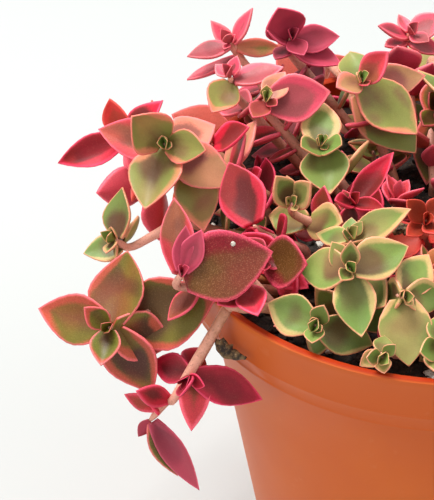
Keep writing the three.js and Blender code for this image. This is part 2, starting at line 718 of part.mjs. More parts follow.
// The shoots of the hidden side, ring by ring
function hiddenShoots() {
  const draw = new Draw(HIDDEN.seed);
  return HIDDEN_RINGS.flatMap((ring) => Array.from({ length: ring.count }, (_, k) => {
    const angle = THREE.MathUtils.degToRad(ring.from + ((ring.to - ring.from) * k) / (ring.count - 1));
    const outX = Math.cos(angle);
    const outY = Math.sin(angle);
    const reach = ring.radius + draw.between(-HIDDEN.wander, HIDDEN.wander);
    const tip = [outX * reach, outY * reach, ring.height + draw.between(-HIDDEN.wander, HIDDEN.wander)];
    const rootReach = Math.min(ring.radius * HIDDEN.rootShare, 44) + draw.between(-2, 2);
    const beyondRim = ring.radius > POT.rimRadius;
    const past = POT.rimRadius + HIDDEN.pastRim;
    const overRim = [outX * past, outY * past, POT.height + HIDDEN.overRim];
    const right = THREE.MathUtils.radToDeg(Math.atan2(outX, -outY)) + draw.between(-15, 15);
    const turn = draw.between(0, 180);
    const blush = draw.between(0.1, 1);
    const pairs = ROSETTE.map(({ step, share, open }, p) => {
      const across = turn + p * 90 + draw.between(-8, 8);
      const spread = draw.between(-6, 6);
      return [
        step,
        set(across, open + spread, ring.leaf * share),
        set(across + 180, open - spread, ring.leaf * share * draw.between(0.85, 1)),
      ];
    });
    return {
      name: `${ring.name}_${k + 1}`,
      root: [outX * rootReach, outY * rootReach],
      via: beyondRim ? [overRim] : [],
      tip,
      facing: [right, ring.rise + draw.between(-8, 8)],
      blush,
      pairs,
    };
  }));
}

// Pairs of leaves lower down the stem, set by rule
function lowerPairs(shoot, line, used) {
  const draw = new Draw(shoot.order * 977 + 13);
  const pairs = [];
  let down = used;
  for (let k = 0; k < LOWER_LEAVES.pairs; k += 1) {
    const step = LOWER_LEAVES.step + draw.between(-1, 1);
    const turn = draw.between(0, 180);
    const length = LOWER_LEAVES.length + draw.between(-1.5, 1.5);
    const open = LOWER_LEAVES.open + draw.between(-10, 8);
    down += step;
    if (stationAt(line, down).point.z > SOIL.top + LOWER_LEAVES.soilClearance) {
      pairs.push([step, set(turn, open, length), set(turn + 180, open, length * 0.9)]);
    }
  }
  return pairs;
}

// Boxes of two solids overlap
function boxesMeet(a, b) {
  return [0, 1, 2].every((k) => a.min[k] <= b.max[k] && b.min[k] <= a.max[k]);
}

// Everything placed so far, which the next leaf has to clear
class Placed {
  constructor() {
    this.items = [];
  }

  add(node, solid) {
    this.items.push({ node, solid, box: solid.boundingBox() });
  }

  touches(node, solid) {
    const box = solid.boundingBox();
    return this.items.some((item) => {
      if (item.node === node || !boxesMeet(item.box, box)) return false;
      const shared = item.solid.intersect(solid);
      const meets = !shared.isEmpty();
      shared.delete();
      return meets;
    });
  }
}

// The first of a leaf's moves that touches nothing, as a solid, or null
function placeLeaf(node, leaf, station, placed) {
  const pose = leafPose(leaf, station);
  for (const move of MOVES) {
    const moved = movedPose(pose, move);
    const size = leafSize(leaf, move[2]);
    const room = leafSolid(moved, size, CLEAR);
    const blocked = placed.touches(node, room);
    room.delete();
    if (!blocked) return leafSolid(moved, size);
  }
  return null;
}

// The largest body of a solid, without loose scraps
function wholeBody(solid) {
  return solid.decompose().sort((a, b) => b.volume() - a.volume())[0];
}

// The curled dry leaf beside a stem, clear of it
function witheredLeaf(line) {
  const { point, direction } = stationAt(line, WITHERED.down);
  const along = vector(WITHERED.along).normalize();
  const base = point.clone().addScaledVector(squareTo(along, direction), STEM.radius + WITHERED.gap);
  const pose = { base, along, face: squareTo(VIEW_AWAY.clone().negate(), along) };
  return leafSolid(pose, WITHERED);
}

// All leaves of a shoot fused to its stem
function growLeaves(node, shoot, line, placed) {
  let solid = stemSolid(line);
  let down = 0;
  const used = shoot.pairs.reduce((sum, [step]) => sum + step, 0);
  const pairs = [...shoot.pairs, ...lowerPairs(shoot, line, used)];
  for (const [step, ...leaves] of pairs) {
    down += step;
    const station = stationAt(line, down);
    for (const leaf of leaves.filter(({ length }) => length >= LEAF.smallest)) {
      const blade = placeLeaf(node, leaf, station, placed);
      if (blade) {
        placed.add(node, blade);
        solid = solid.add(blade);
      }
    }
  }
  return wholeBody(solid);
}

// A named mesh with its own material
function mesh(name, solid, color, roughness) {
  const material = new THREE.MeshStandardMaterial({ color, roughness, metalness: 0 });
  const result = new THREE.Mesh(geometryOf(solid), material);
  result.name = name;
  return result;
}

// The whole potted plant
function pottedPlant() {
  const group = new THREE.Group();
  const shoots = [...FRONT_SHOOTS, ...hiddenShoots()];
  shoots.forEach((shoot, k) => {
    shoot.order = k;
    shoot.line = stemLine(shoot);
  });
  spreadStems(shoots);

  const pot = potSolid();
  let soil = soilSolid();
  for (const shoot of shoots) {
    const { stemHoleRadius, stemHoleSides, holeLength } = SOIL;
    const hole = new THREE.CylinderGeometry(stemHoleRadius, stemHoleRadius, holeLength, stemHoleSides);
    hole.rotateX(Math.PI / 2);
    hole.translate(...shoot.root, shoot.line[0].z - SOIL.gap + holeLength / 2);
    soil = soil.subtract(solidOf(hole));
  }

  const placed = new Placed();
  placed.add('pot', pot);
  placed.add('soil', soil);
  for (const shoot of shoots) {
    placed.add(shoot.name, stemSolid(shoot.line));
    if (shoot.branch) {
      shoot.branch.order = shoot.order + 500;
      shoot.branch.line = stemLine(shoot.branch, shoot.line);
      placed.add(shoot.name, stemSolid(shoot.branch.line));
    }
  }

  const withered = witheredLeaf(shoots.find(({ name }) => name === 'hanging').line);
  placed.add('withered_leaf', withered);

  group.add(mesh('pot', pot, COLOURS.pot, 0.45));
  group.add(mesh('soil', soil, COLOURS.soil, 0.95));
  group.add(mesh('withered_leaf', withered, COLOURS.withered, 0.9));
  for (const shoot of shoots) {
    let solid = growLeaves(shoot.name, shoot, shoot.line, placed);
    if (shoot.branch) solid = solid.add(growLeaves(shoot.name, shoot.branch, shoot.branch.line, placed));
    const color = new THREE.Color(COLOURS.green).lerp(new THREE.Color(COLOURS.rose), shoot.blush);
    group.add(mesh(`shoot_${shoot.name}`, solid, color, 0.6));
  }
  return group;
}

export default pottedPlant();
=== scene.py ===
"""Potted calico kitten crassula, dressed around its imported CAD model.

Everything is in metres in the finished scene. The plant is worked out in millimetres, as in the part's
source, and turned into metres where a mesh is made.
"""

import json
import logging
import math
from dataclasses import dataclass, field, replace
from enum import Enum
from typing import Any, Callable, Dict, List, Optional, Sequence, Tuple

import bpy
import numpy as np
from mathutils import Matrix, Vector, noise
from mathutils.kdtree import KDTree

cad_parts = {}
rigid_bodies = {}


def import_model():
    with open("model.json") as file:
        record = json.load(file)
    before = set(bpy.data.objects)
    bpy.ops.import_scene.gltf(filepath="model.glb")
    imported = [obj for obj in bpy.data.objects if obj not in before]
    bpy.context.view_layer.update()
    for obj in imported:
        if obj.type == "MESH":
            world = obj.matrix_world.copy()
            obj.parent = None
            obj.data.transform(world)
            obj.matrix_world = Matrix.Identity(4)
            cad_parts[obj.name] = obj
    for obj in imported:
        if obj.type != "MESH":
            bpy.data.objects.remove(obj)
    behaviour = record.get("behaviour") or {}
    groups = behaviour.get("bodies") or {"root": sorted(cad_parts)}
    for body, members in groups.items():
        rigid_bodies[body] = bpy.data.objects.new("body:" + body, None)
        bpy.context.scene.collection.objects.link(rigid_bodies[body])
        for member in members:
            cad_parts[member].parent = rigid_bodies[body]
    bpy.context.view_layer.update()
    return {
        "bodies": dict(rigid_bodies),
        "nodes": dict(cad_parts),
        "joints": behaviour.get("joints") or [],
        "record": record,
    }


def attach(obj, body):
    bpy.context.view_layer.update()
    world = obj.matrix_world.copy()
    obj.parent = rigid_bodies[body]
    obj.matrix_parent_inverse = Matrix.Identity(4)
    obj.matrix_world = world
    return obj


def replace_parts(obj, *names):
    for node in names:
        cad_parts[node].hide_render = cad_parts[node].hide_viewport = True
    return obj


LOG = logging.getLogger("crassula")

MM = 0.001
ROOT_BODY = "root"

Colour = Tuple[float, float, float]
Point = Tuple[float, float, float]

# The viewer stands in front and looks down at this angle: leaves are aimed by what the viewer sees
LOOK_DOWN = math.radians(36)
VIEW_RIGHT = np.array([1.0, 0.0, 0.0])
VIEW_UP = np.array([0.0, math.sin(LOOK_DOWN), math.cos(LOOK_DOWN)])
VIEW_AWAY = np.array([0.0, math.cos(LOOK_DOWN), -math.sin(LOOK_DOWN)])


# Plain helpers


def linear(red: int, green: int, blue: int) -> Colour:
    """Turns a display colour into scene-linear values.

    Args:
        red: Red from 0 to 255.
        green: Green from 0 to 255.
        blue: Blue from 0 to 255.

    Returns:
        The three linear values from 0 to 1.
    """
    shares = (red / 255, green / 255, blue / 255)
    return tuple(c / 12.92 if c <= 0.04045 else ((c + 0.055) / 1.055) ** 2.4 for c in shares)


def unit(value: np.ndarray) -> np.ndarray:
    """Returns the vector at length 1."""
    return value / math.sqrt(float(value @ value))


def square_to(value: np.ndarray, direction: np.ndarray) -> np.ndarray:
    """Returns the part of a vector that is square to a direction, at length 1."""
    return unit(value - direction * float(value @ direction))


def heading(right: float, up: float) -> np.ndarray:
    """Returns the direction at degrees to the right of the front, and degrees up."""
    a, e = math.radians(right), math.radians(up)
    return np.array([math.sin(a) * math.cos(e), -math.cos(a) * math.cos(e), math.sin(e)])


def turned_about(value: np.ndarray, axis: np.ndarray, angle: float) -> np.ndarray:
    """Returns the vector turned about an axis of length 1 by an angle in radians."""
    c, s = math.cos(angle), math.sin(angle)
    return value * c + np.cross(axis, value) * s + axis * float(axis @ value) * (1 - c)


def smooth_line(points: List[np.ndarray], steps_for: Callable[[float], int]) -> List[np.ndarray]:
    """Lays a smooth line through points.

    Args:
        points: The points that the line passes.
        steps_for: Gives the number of steps between two points from their distance.

    Returns:
        The points of the line, the given ones among them.
    """
    line: List[np.ndarray] = []
    for i, (p1, p2) in enumerate(zip(points, points[1:])):
        p0 = points[i - 1] if i else p1 * 2 - p2
        p3 = points[i + 2] if i + 2 < len(points) else p2 * 2 - p1
        steps = steps_for(math.dist(p1, p2))
        for k in range(steps):
            t = k / steps
            line.append(p0 * (-0.5 * t**3 + t**2 - 0.5 * t) + p1 * (1.5 * t**3 - 2.5 * t**2 + 1)
                        + p2 * (-1.5 * t**3 + 2 * t**2 + 0.5 * t) + p3 * (0.5 * t**3 - 0.5 * t**2))
    line.append(points[-1].copy())
    return line


def tree_of(points: Sequence[Any]) -> KDTree:
    """Sorts points into a search tree.

    Args:
        points: The points.

    Returns:
        The tree, in which each point is numbered by its place in the list.
    """
    tree = KDTree(len(points))
    for k, point in enumerate(points):
        tree.insert(point, k)
    tree.balance()
    return tree


class Draw:
    """Seeded random draws, the same as in the part's source."""

    def __init__(self, seed: int) -> None:
        """Starts the draws from a whole number."""
        self.state = seed & 0xFFFFFFFF

    def between(self, low: float, high: float) -> float:
        """Returns the next draw between two limits."""
        self.state = (self.state * 1664525 + 1013904223) & 0xFFFFFFFF
        return low + ((high - low) * self.state) / 4294967296

    def one_of(self, choices: Sequence[Any]) -> Any:
        """Returns one of the choices."""
        return choices[int(self.between(0, len(choices)))]


# Leaf colours


@dataclass(frozen=True)
class LeafColours:
    """The colours of one leaf from its middle outwards.

    The margin is the width of its coloured rim (mm), dots says how dotted it is and reach is the share of
    its length that the heart fills.
    """

    heart: Colour
    flesh: Colour
    blush: Colour
    edge: Colour
    under: Colour
    margin: float
    dots: float
    reach: float

    def varied(self, draw: Draw) -> "LeafColours":
        """Changes the colours a little, so that no two leaves are the same.

        Args:
            draw: The draws for this leaf.

        Returns:
            The leaf's own colours.
        """
        light = draw.between(0.86, 1.14)
        warm = draw.between(-0.06, 0.06)
        share = draw.between(0.65, 1.1)
        tint = (light * (1 + warm), light * (1 - warm), light)
        heart = tuple(f + (h - f) * share for h, f in zip(self.heart, self.flesh))
        changed = {"heart": heart, "flesh": self.flesh, "blush": self.blush, "edge": self.edge,
                   "under": self.under}
        tinted = {name: tuple(min(1.0, c * t) for c, t in zip(colour, tint))
                  for name, colour in changed.items()}
        return replace(self, **tinted, margin=self.margin * draw.between(0.8, 1.2))


def leaf_colours(*shown: Tuple[int, int, int], margin: float, dots: float, reach: float) -> LeafColours:
    """Returns a leaf's colours from the display colours of its heart, flesh, blush, edge and underside."""
    return LeafColours(*(linear(*colour) for colour in shown), margin, dots, reach)


class LeafTone(Enum):
    """The kinds of leaf colour that the plant shows."""

    GREEN = leaf_colours((96, 76, 46), (116, 138, 66), (194, 166, 106), (244, 162, 126), (150, 146, 84),
                         margin=0.6, dots=0.1, reach=0.62)
    OLIVE = leaf_colours((80, 46, 28), (108, 102, 30), (190, 82, 60), (252, 116, 120), (186, 82, 68),
                         margin=0.85, dots=0.25, reach=0.95)
    PEACH = leaf_colours((116, 72, 58), (134, 136, 68), (214, 136, 98), (250, 134, 120), (206, 122, 80),
                         margin=0.9, dots=0.12, reach=0.8)
    BLUSH = leaf_colours((138, 82, 72), (178, 132, 90), (222, 134, 110), (250, 136, 130), (212, 104, 92),
                         margin=0.9, dots=0.1, reach=0.85)
    MAUVE = leaf_colours((104, 52, 42), (154, 82, 58), (206, 62, 72), (250, 100, 120), (194, 66, 80),
                         margin=1.1, dots=0.2, reach=0.9)
    BROWN = leaf_colours((106, 68, 24), (112, 54, 26), (136, 14, 32), (242, 76, 106), (156, 24, 48),
                         margin=1.9, dots=0.5, reach=1.0)
    RED = leaf_colours((96, 22, 24), (144, 34, 36), (198, 28, 54), (248, 78, 108), (190, 36, 60),
                       margin=1.1, dots=0.15, reach=0.9)
    WINE = leaf_colours((92, 16, 28), (150, 28, 44), (182, 28, 58), (236, 72, 108), (160, 24, 50),
                        margin=0.7, dots=0.15, reach=0.9)
    ROSE = leaf_colours((138, 42, 60), (160, 52, 70), (174, 56, 78), (220, 86, 112), (160, 48, 70),
                        margin=0.6, dots=0.05, reach=0.8)
    PINK = leaf_colours((128, 58, 60), (166, 74, 80), (210, 72, 94), (248, 124, 132), (194, 62, 86),
                        margin=1.0, dots=0.15, reach=0.85)
    ORANGE = leaf_colours((138, 52, 34), (184, 66, 42), (218, 54, 50), (246, 92, 80), (200, 62, 50),
                          margin=0.9, dots=0.12, reach=0.8)


# How much a shoot of the hidden side blushes at most to take a kind of colour. Above the last it is red
BLUSH_LIMITS = ((0.3, LeafTone.GREEN), (0.45, LeafTone.OLIVE), (0.62, LeafTone.MAUVE), (0.72, LeafTone.BLUSH))
SPROUT_TONES = (LeafTone.GREEN, LeafTone.OLIVE, LeafTone.PEACH, LeafTone.RED, LeafTone.MAUVE, LeafTone.WINE)
INNER_TONES = (LeafTone.GREEN, LeafTone.OLIVE, LeafTone.WINE, LeafTone.MAUVE, LeafTone.RED, LeafTone.PEACH)


def tone_for(blush: float) -> LeafTone:
    """Returns the kind of colour for a shoot by how much it blushes, from 0 to 1."""
    return next((tone for limit, tone in BLUSH_LIMITS if blush < limit), LeafTone.RED)


# Leaves and shoots as they are written down


@dataclass(frozen=True)
class Leaf:
    """A leaf as it is written down.

    A seen leaf has a direction on the viewer's clock and a lean away from the viewer, and a set leaf has a
    turn round the stem and an opening from the stem's axis, all in degrees. The length is in mm. Wide is the
    width as a share of the length and cup the bend across (radians). Front says that the upper face looks at
    the viewer, and slim is the real leaf's share of the width that the solid's leaf has.
    """

    first: float
    second: float
    length: float
    is_seen: bool
    wide: float = 0.8
    cup: float = 0.35
    front: bool = False
    tone: Optional[LeafTone] = None
    slim: float = 1.0


def seen(clock: float, lean: float, length: float, tone: Optional[LeafTone] = None, **options: Any) -> Leaf:
    """Returns a leaf that is aimed by what the viewer sees."""
    return Leaf(clock, lean, length, True, tone=tone, **options)


def faced(clock: float, lean: float, length: float, tone: Optional[LeafTone] = None, **options: Any) -> Leaf:
    """Returns a seen leaf whose upper face looks at the viewer."""
    return seen(clock, lean, length, tone, front=True, **options)


def set_leaf(turn: float, opening: float, length: float, **options: Any) -> Leaf:
    """Returns a leaf that is set by rule round its stem."""
    return Leaf(turn, opening, length, False, **options)


@dataclass
class Shoot:
    """A leafy shoot.

    It has a place in the soil, a tip, the way that the tip faces (degrees to the right of the front, and up),
    its leaves in pairs, each after a step down the stem (mm), and the points that its stem passes. A branch
    leaves its parent's stem at a share of the parent's length. The last three fields are filled in while the
    plant is built: the shoot's number, the length of stem that its leaves take up and the stem's line.
    """

    name: str
    root: Tuple[float, float]
    tip: Point
    facing: Tuple[float, float]
    tone: LeafTone
    pairs: List[Tuple[float, List[Leaf]]]
    via: List[Point] = field(default_factory=list)
    branch: Optional["Shoot"] = None
    leaves_at: float = 0.0
    order: int = 0
    used: float = 0.0
    line: List[np.ndarray] = field(default_factory=list)


def front_shoots() -> List[Shoot]:
    """Returns the shoots that show in front, as in the part's source, with the colours of their leaves."""
    tone = LeafTone
    return [
        Shoot("front_left", (-38, -22), (-72, -39, 98), (-12, 36), tone.OLIVE, [
            (0.5, [seen(-50, -15, 6.5), seen(-170, -25, 8.5)]),
            (1, [seen(-75, 20, 15.5, wide=0.72), seen(105, 30, 13.5, wide=0.85)]),
            (1.6, [seen(15, 20, 16, wide=0.84), seen(145, 20, 16)]),
            (4.5, [faced(75, 0, 20)]),
        ], via=[(-50, -36, 105)]),
        Shoot("upper_left", (-33, 4), (-61, -4, 120), (-8, 40), tone.MAUVE, [
            (0.3, [seen(-20, -55, 2.5, tone.GREEN), seen(110, -55, 2.5, tone.GREEN)]),
            (0.9, [seen(-50, -40, 12, tone.PEACH, wide=0.9), seen(100, -30, 10.5, tone.PEACH, wide=0.75)]),
            (1.6, [seen(-165, -20, 15.5, tone.PEACH), seen(70, 35, 12.5, tone.BLUSH)]),
            (2.4, [faced(-75, 20, 15.5, tone.MAUVE, wide=0.6), faced(120, 0, 16.5, tone.BLUSH, wide=0.62)]),
            (7, [faced(170, 0, 15.5, tone.PEACH, wide=0.65)]),
        ], via=[(-48, 0, 114)]),
        Shoot("upper_left_back", (-36, 14), (-71, 10, 113), (-35, 50), tone.ORANGE, [
            (0.5, [seen(-15, -15, 8.5, wide=0.75), seen(180, 60, 5)]),
            (1.5, [faced(-110, 5, 15, tone.RED, wide=0.5), seen(50, 0, 11.5, tone.RED, wide=0.6)]),
        ], via=[(-54, 12, 110)]),
        Shoot("left_green", (-41, -6), (-72, -12, 101), (-50, 45), tone.GREEN, [
            (0.3, [seen(-15, -45, 3.5), seen(-155, -45, 4.5)]),
            (1.2, [seen(10, 5, 11, wide=0.75), seen(-165, 40, 5.5)]),
            (2.2, [seen(-105, 0, 8.5), seen(40, 45, 9)]),
        ], via=[(-58, -10, 104)]),
        Shoot("middle", (-34, -25), (-57, -38, 111), (20, 60), tone.MAUVE, [
            (0.3, [seen(25, 0, 9.5, tone.ROSE, wide=0.6), seen(5, 0, 9.5, tone.ROSE, wide=0.5)]),
            (1, [faced(-5, 25, 16.5, tone.MAUVE, wide=0.5, cup=0.9), faced(75, 0, 19, tone.BROWN)]),
        ], via=[(-48, -34, 106)]),
        Shoot("centre_left", (-27, -20), (-40, -30, 109), (10, 50), tone.RED, [
            (0.3, [seen(115, -10, 4), seen(180, -50, 3.5)]),
            (1.2, [faced(95, -35, 11, tone.BROWN, wide=1.05), seen(-40, 40, 6.5)]),
            (1.6, [faced(120, 10, 10.5, wide=0.6), seen(-135, 35, 8.5)]),
        ]),
        Shoot("red_upright", (-31, -12), (-42, -17, 108), (-30, 50), tone.RED, [
            (0.5, [seen(-20, 25, 15, wide=0.72), seen(150, 60, 6)]),
        ]),
        Shoot("low_middle", (-36, -33), (-44, -37, 107), (-10, 20), tone.RED, [
            (0.5, [faced(160, -40, 8.5), seen(-45, -10, 6.5)]),
            (2, [faced(-125, 0, 8)]),
        ]),
        Shoot("hanging", (-29, -36), (-56, -43, 88), (-20, 10), tone.WINE, [
            (0.5, [seen(115, -35, 4.5), seen(-160, -50, 6.5)]),
            (1.5, [faced(110, 20, 16, wide=0.52), faced(-75, 30, 8.5)]),
            (2.5, [faced(-175, -5, 13, tone.MAUVE, wide=0.65, slim=0.8), seen(20, 55, 8.5)]),
        ], via=[(-44, -46, 105), (-50, -46, 101)], branch=Shoot(
            "hanging", (0, 0), (-64, -44, 77), (-60, -40), tone.RED, [
                (0.5, [faced(145, -5, 17.5, tone.ROSE, wide=0.42, slim=0.75),
                       faced(155, 0, 12.5, tone.OLIVE, wide=0.5)]),
                (2.5, [faced(-65, 0, 7.5, tone.MAUVE, wide=0.5), seen(-30, -60, 5.5)]),
                (4, [faced(-70, -45, 11, wide=0.45)]),
            ], via=[(-59, -43, 82)], leaves_at=0.72)),
        Shoot("top_left", (-26, 27), (-47, 35, 122), (-50, 60), tone.PINK, [
            (0.3, [seen(35, -50, 2.5), seen(-145, -40, 2.5)]),
            (0.9, [seen(35, -20, 9.5, wide=0.5), seen(-110, -5, 10, wide=0.6)]),
            (1.6, [seen(-40, 5, 8, wide=0.5), faced(90, 20, 11.5, tone.PEACH, wide=0.4)]),
            (3, [seen(-120, 0, 12.5, wide=0.4)]),
        ]),
        Shoot("top_middle", (-15, 30), (-33, 35, 123), (10, 60), tone.ROSE, [
            (0.5, [faced(-25, -40, 9.5, wide=1.05), seen(150, -40, 6.5)]),
            (1, [seen(-75, -40, 7.5, wide=0.6), faced(85, 5, 10.5, wide=0.65)]),
            (2, [seen(-145, -40, 7.5, wide=0.6), seen(115, 0, 12, wide=0.6)]),
        ]),
        Shoot("top_low", (-30, 20), (-47, 22, 121), (-30, 70), tone.PINK, [
            (0.5, [seen(20, 5, 4.5), seen(-50, 35, 4.5)]),
            (1.5, [seen(80, 5, 11.5, wide=0.6), faced(-150, -30, 10, tone.PEACH)]),
        ]),
        Shoot("centre_rosette", (-23, 12), (-39, 14, 120), (5, 55), tone.MAUVE, [
            (0.3, [seen(0, -40, 3.5, tone.GREEN), seen(125, -45, 3.5)]),
            (0.9, [seen(35, 30, 8, tone.BLUSH), seen(-145, -40, 6.5)]),
            (1.6, [seen(-60, 60, 6.5, tone.GREEN), faced(80, 5, 14, tone.PINK)]),
        ]),
        Shoot("right_top", (-10, 16), (-18, 19, 122), (5, 52), tone.MAUVE, [
            (0.3, [seen(-55, -70, 3.5, tone.GREEN), seen(145, -60, 3.5)]),
            (0.9, [seen(-110, -40, 8, tone.BLUSH), seen(45, -35, 10, wide=0.7)]),
            (1.6, [seen(-15, 50, 10, tone.GREEN), seen(135, 0, 16.5, tone.PEACH, wide=0.75)]),
            (3, [faced(80, 0, 14.5, tone.BLUSH, wide=0.6), faced(140, 0, 19, tone.PEACH, wide=0.7)]),
        ]),
        Shoot("far_right", (-4, 36), (-5, 49, 116), (20, 60), tone.PINK, [
            (0.5, [seen(-30, 35, 5.5, wide=0.6), seen(120, -35, 5.5)]),
            (1.2, [seen(-80, -35, 9.5, wide=0.5), seen(60, 0, 9)]),
            (2, [seen(-115, -45, 8.5, wide=0.5), seen(115, 0, 8.5)]),
        ]),
        Shoot("inner_green", (-18, 3), (-27, 7, 113), (5, 58), tone.GREEN, [
            (0.3, [seen(-45, -60, 2.5), seen(145, -55, 2.5)]),
            (0.9, [seen(-100, -45, 6.5, wide=1), seen(95, -50, 6.5, wide=1)]),
            (1.6, [seen(5, 35, 11, wide=0.85), faced(170, -30, 12.5, wide=0.9)]),
        ]),
        Shoot("inner_green_low", (-23, -7), (-34, -16, 113), (-5, 55), tone.GREEN, [
            (0.3, [seen(-45, -50, 2.5), seen(155, -55, 2.5)]),
            (0.9, [seen(-40, -35, 8.5, wide=0.75), seen(40, -45, 8.5, wide=0.75)]),
            (1.6, [faced(160, -35, 7.5, wide=1.15), seen(-10, 0, 6.5)]),
        ]),
        Shoot("front_green", (-21, -33), (-30, -46, 104), (-10, 35), tone.GREEN, [
            (0.3, [seen(-25, -55, 2.5), seen(140, -60, 2.5)]),
            (0.9, [seen(20, -40, 5.5), seen(-165, -50, 5.5)]),
            (1.6, [faced(-75, 35, 11.5, wide=0.85), faced(110, 25, 12.5, wide=0.7)]),
        ]),
        Shoot("front_middle", (-15, -26), (-23, -39, 113), (0, 45), tone.GREEN, [
            (0.3, [seen(0, -25, 6, wide=0.7), seen(-140, -50, 4.5)]),
            (0.9, [seen(-90, 35, 11.5), seen(70, 15, 12.5, wide=0.75)]),
            (2.5, [faced(170, -10, 13.5, wide=0.68), seen(-30, 0, 6.5)]),
        ]),
        Shoot("front_right", (-6, -31), (-12, -43, 109), (10, 35), tone.GREEN, [
            (0.3, [seen(-45, -65, 2.5), seen(140, -35, 2.5)]),
            (0.9, [seen(-85, 45, 9, wide=0.95), seen(90, 35, 9.5)]),
            (1.6, [seen(175, 0, 14), seen(35, 30, 10.5)]),
        ]),
        Shoot("front_edge", (-13, -42), (-17, -55, 103), (0, 30), tone.GREEN, [
            (0.5, [seen(45, -25, 3.5), seen(-90, -45, 4.5)]),
            (1.5, [seen(175, -45, 4.5), seen(15, 60, 5.5)]),
        ]),
        Shoot("corner_green", (-2, -41), (-5, -53, 104), (10, 40), tone.GREEN, [
            (0.5, [seen(-35, -40, 2.5), seen(175, -55, 2.5)]),
            (1.2, [seen(-100, -45, 6.5), seen(60, -60, 7.5)]),
            (1.5, [seen(180, -35, 8.5), seen(15, 55, 8.5)]),
        ]),
        Shoot("low_edge_on", (-17, -16), (-22, -25, 111), (0, 62), tone.GREEN, [
            (0.5, [seen(35, -5, 3.5), seen(-60, -55, 3.5)]),
            (1.2, [seen(-85, 45, 8.5, wide=0.6), seen(65, -15, 14, wide=0.5)]),
            (1.5, [seen(170, -75, 6.5), seen(5, 35, 5.5)]),
        ]),
        Shoot("inner_red", (-14, -4), (-21, -11, 110), (10, 60), tone.RED, [
            (0.5, [seen(-110, -30, 8.5, wide=0.6, cup=0.8), seen(105, -40, 8.5, wide=0.5, cup=0.8)]),
            (1.5, [seen(40, 0, 14, wide=0.45, cup=0.8), seen(-170, 0, 6)]),
        ]),
        Shoot("right_red", (-4, -9), (-6, -18, 110), (10, 50), tone.ORANGE, [
            (0.5, [seen(-45, -25, 6.5), seen(140, -50, 5.5)]),
            (1.2, [seen(-125, -40, 6.5, wide=0.6), seen(50, 20, 7.5)]),
        ]),
        Shoot("pink_pair", (-39, 4), (-51, 2, 116), (-20, 60), tone.BLUSH, [
            (0.5, [seen(80, -30, 12, tone.RED, wide=0.62, cup=0.7), seen(-40, 25, 7.5)]),
        ]),
        Shoot("right_olive", (-1, 16), (0, 26, 110), (20, 50), tone.OLIVE, [
            (0.5, [seen(-35, -45, 5.5), seen(150, -40, 5.5)]),
            (1.5, [seen(-140, -50, 8.5, wide=0.6), seen(70, 40, 8.5)]),
            (3, [faced(-175, 0, 16, wide=0.5), seen(15, 20, 9.5)]),
        ]),
    ]


@dataclass(frozen=True)
class Ring:
    """A ring of shoots on the sides that the viewer can't see.

    Start and end are degrees from +X towards +Y, rise is the angle at which the tips point up, and the other
    sizes are in mm.
    """

    name: str
    count: int
    start: float
    end: float
    radius: float
    height: float
    rise: float
    leaf: float


HIDDEN_RINGS = (
    Ring("right_rim", 7, -72, 70, 70, 101, 32, 16.5),
    Ring("back_rim", 4, 88, 158, 73, 91, 10, 15),
    Ring("right_ring", 5, -64, 72, 48, 114, 50, 16.5),
    Ring("right_core", 4, -66, 70, 25, 120, 68, 16),
)
# One rosette of the hidden shoots, pair by pair: step down the stem (mm), share of the full leaf and opening
ROSETTE = ((0.3, 0.24, 16), (1.4, 0.52, 48), (2.2, 0.86, 68), (3, 1, 84))

# Ways in which the part's source moved a leaf that would touch another piece: tilt, swing and share of length
MOVES = (
    (0, 0, 1), (7, 0, 1), (-7, 0, 1), (14, 0, 1), (-14, 0, 1), (0, 7, 1), (0, -7, 1), (22, 0, 1),
    (-22, 0, 1), (10, 9, 0.94), (-10, -9, 0.94), (10, -9, 0.94), (-10, 9, 0.94), (0, 0, 0.85),
    (18, 0, 0.85), (-18, 0, 0.85), (30, 0, 0.9), (-30, 0, 0.9), (0, 16, 0.85), (0, -16, 0.85),
    (0, 0, 0.7), (25, 0, 0.7), (-25, 0, 0.7), (0, 22, 0.7), (0, -22, 0.7), (0, 0, 0.55),
    (35, 0, 0.55), (-35, 0, 0.55),
)

# A young sprout from its tip down: distance from the tip (mm), length of the leaf (mm) and opening
SPROUT_PAIRS = ((0.3, 4.0, 25), (0.9, 6.0, 50), (2.2, 7.5, 68), (5.4, 8.0, 80))
# Ways in which a small inner leaf is tried until it has room: swing, opening and share of its length
INNER_TRIES = ((0, 70, 1), (35, 80, 1), (-35, 60, 1), (0, 95, 0.8), (60, 70, 0.75), (-60, 85, 0.75),
               (20, 50, 0.6), (90, 75, 0.6))


# Shader helpers


class Wire:
    """A socket of a material's nodes that can be used in an expression on numbers."""

    def __init__(self, shader: "Shader", socket: Any) -> None:
        """Wraps an output socket of one shader."""
        self.shader = shader
        self.socket = socket

    def maths(self, operation: str, first: Any, second: Any) -> "Wire":
        """Returns the output of a Math node on two values."""
        return self.shader.node("ShaderNodeMath", {"operation": operation}, {0: first, 1: second})

    def __add__(self, other: Any) -> "Wire":
        """Adds."""
        return self.maths("ADD", self, other)

    __radd__ = __add__

    def __mul__(self, other: Any) -> "Wire":
        """Multiplies."""
        return self.maths("MULTIPLY", self, other)

    __rmul__ = __mul__

    def __sub__(self, other: Any) -> "Wire":
        """Subtracts."""
        return self.maths("SUBTRACT", self, other)

    def __rsub__(self, other: Any) -> "Wire":
        """Subtracts this from a number."""
        return self.maths("SUBTRACT", other, self)


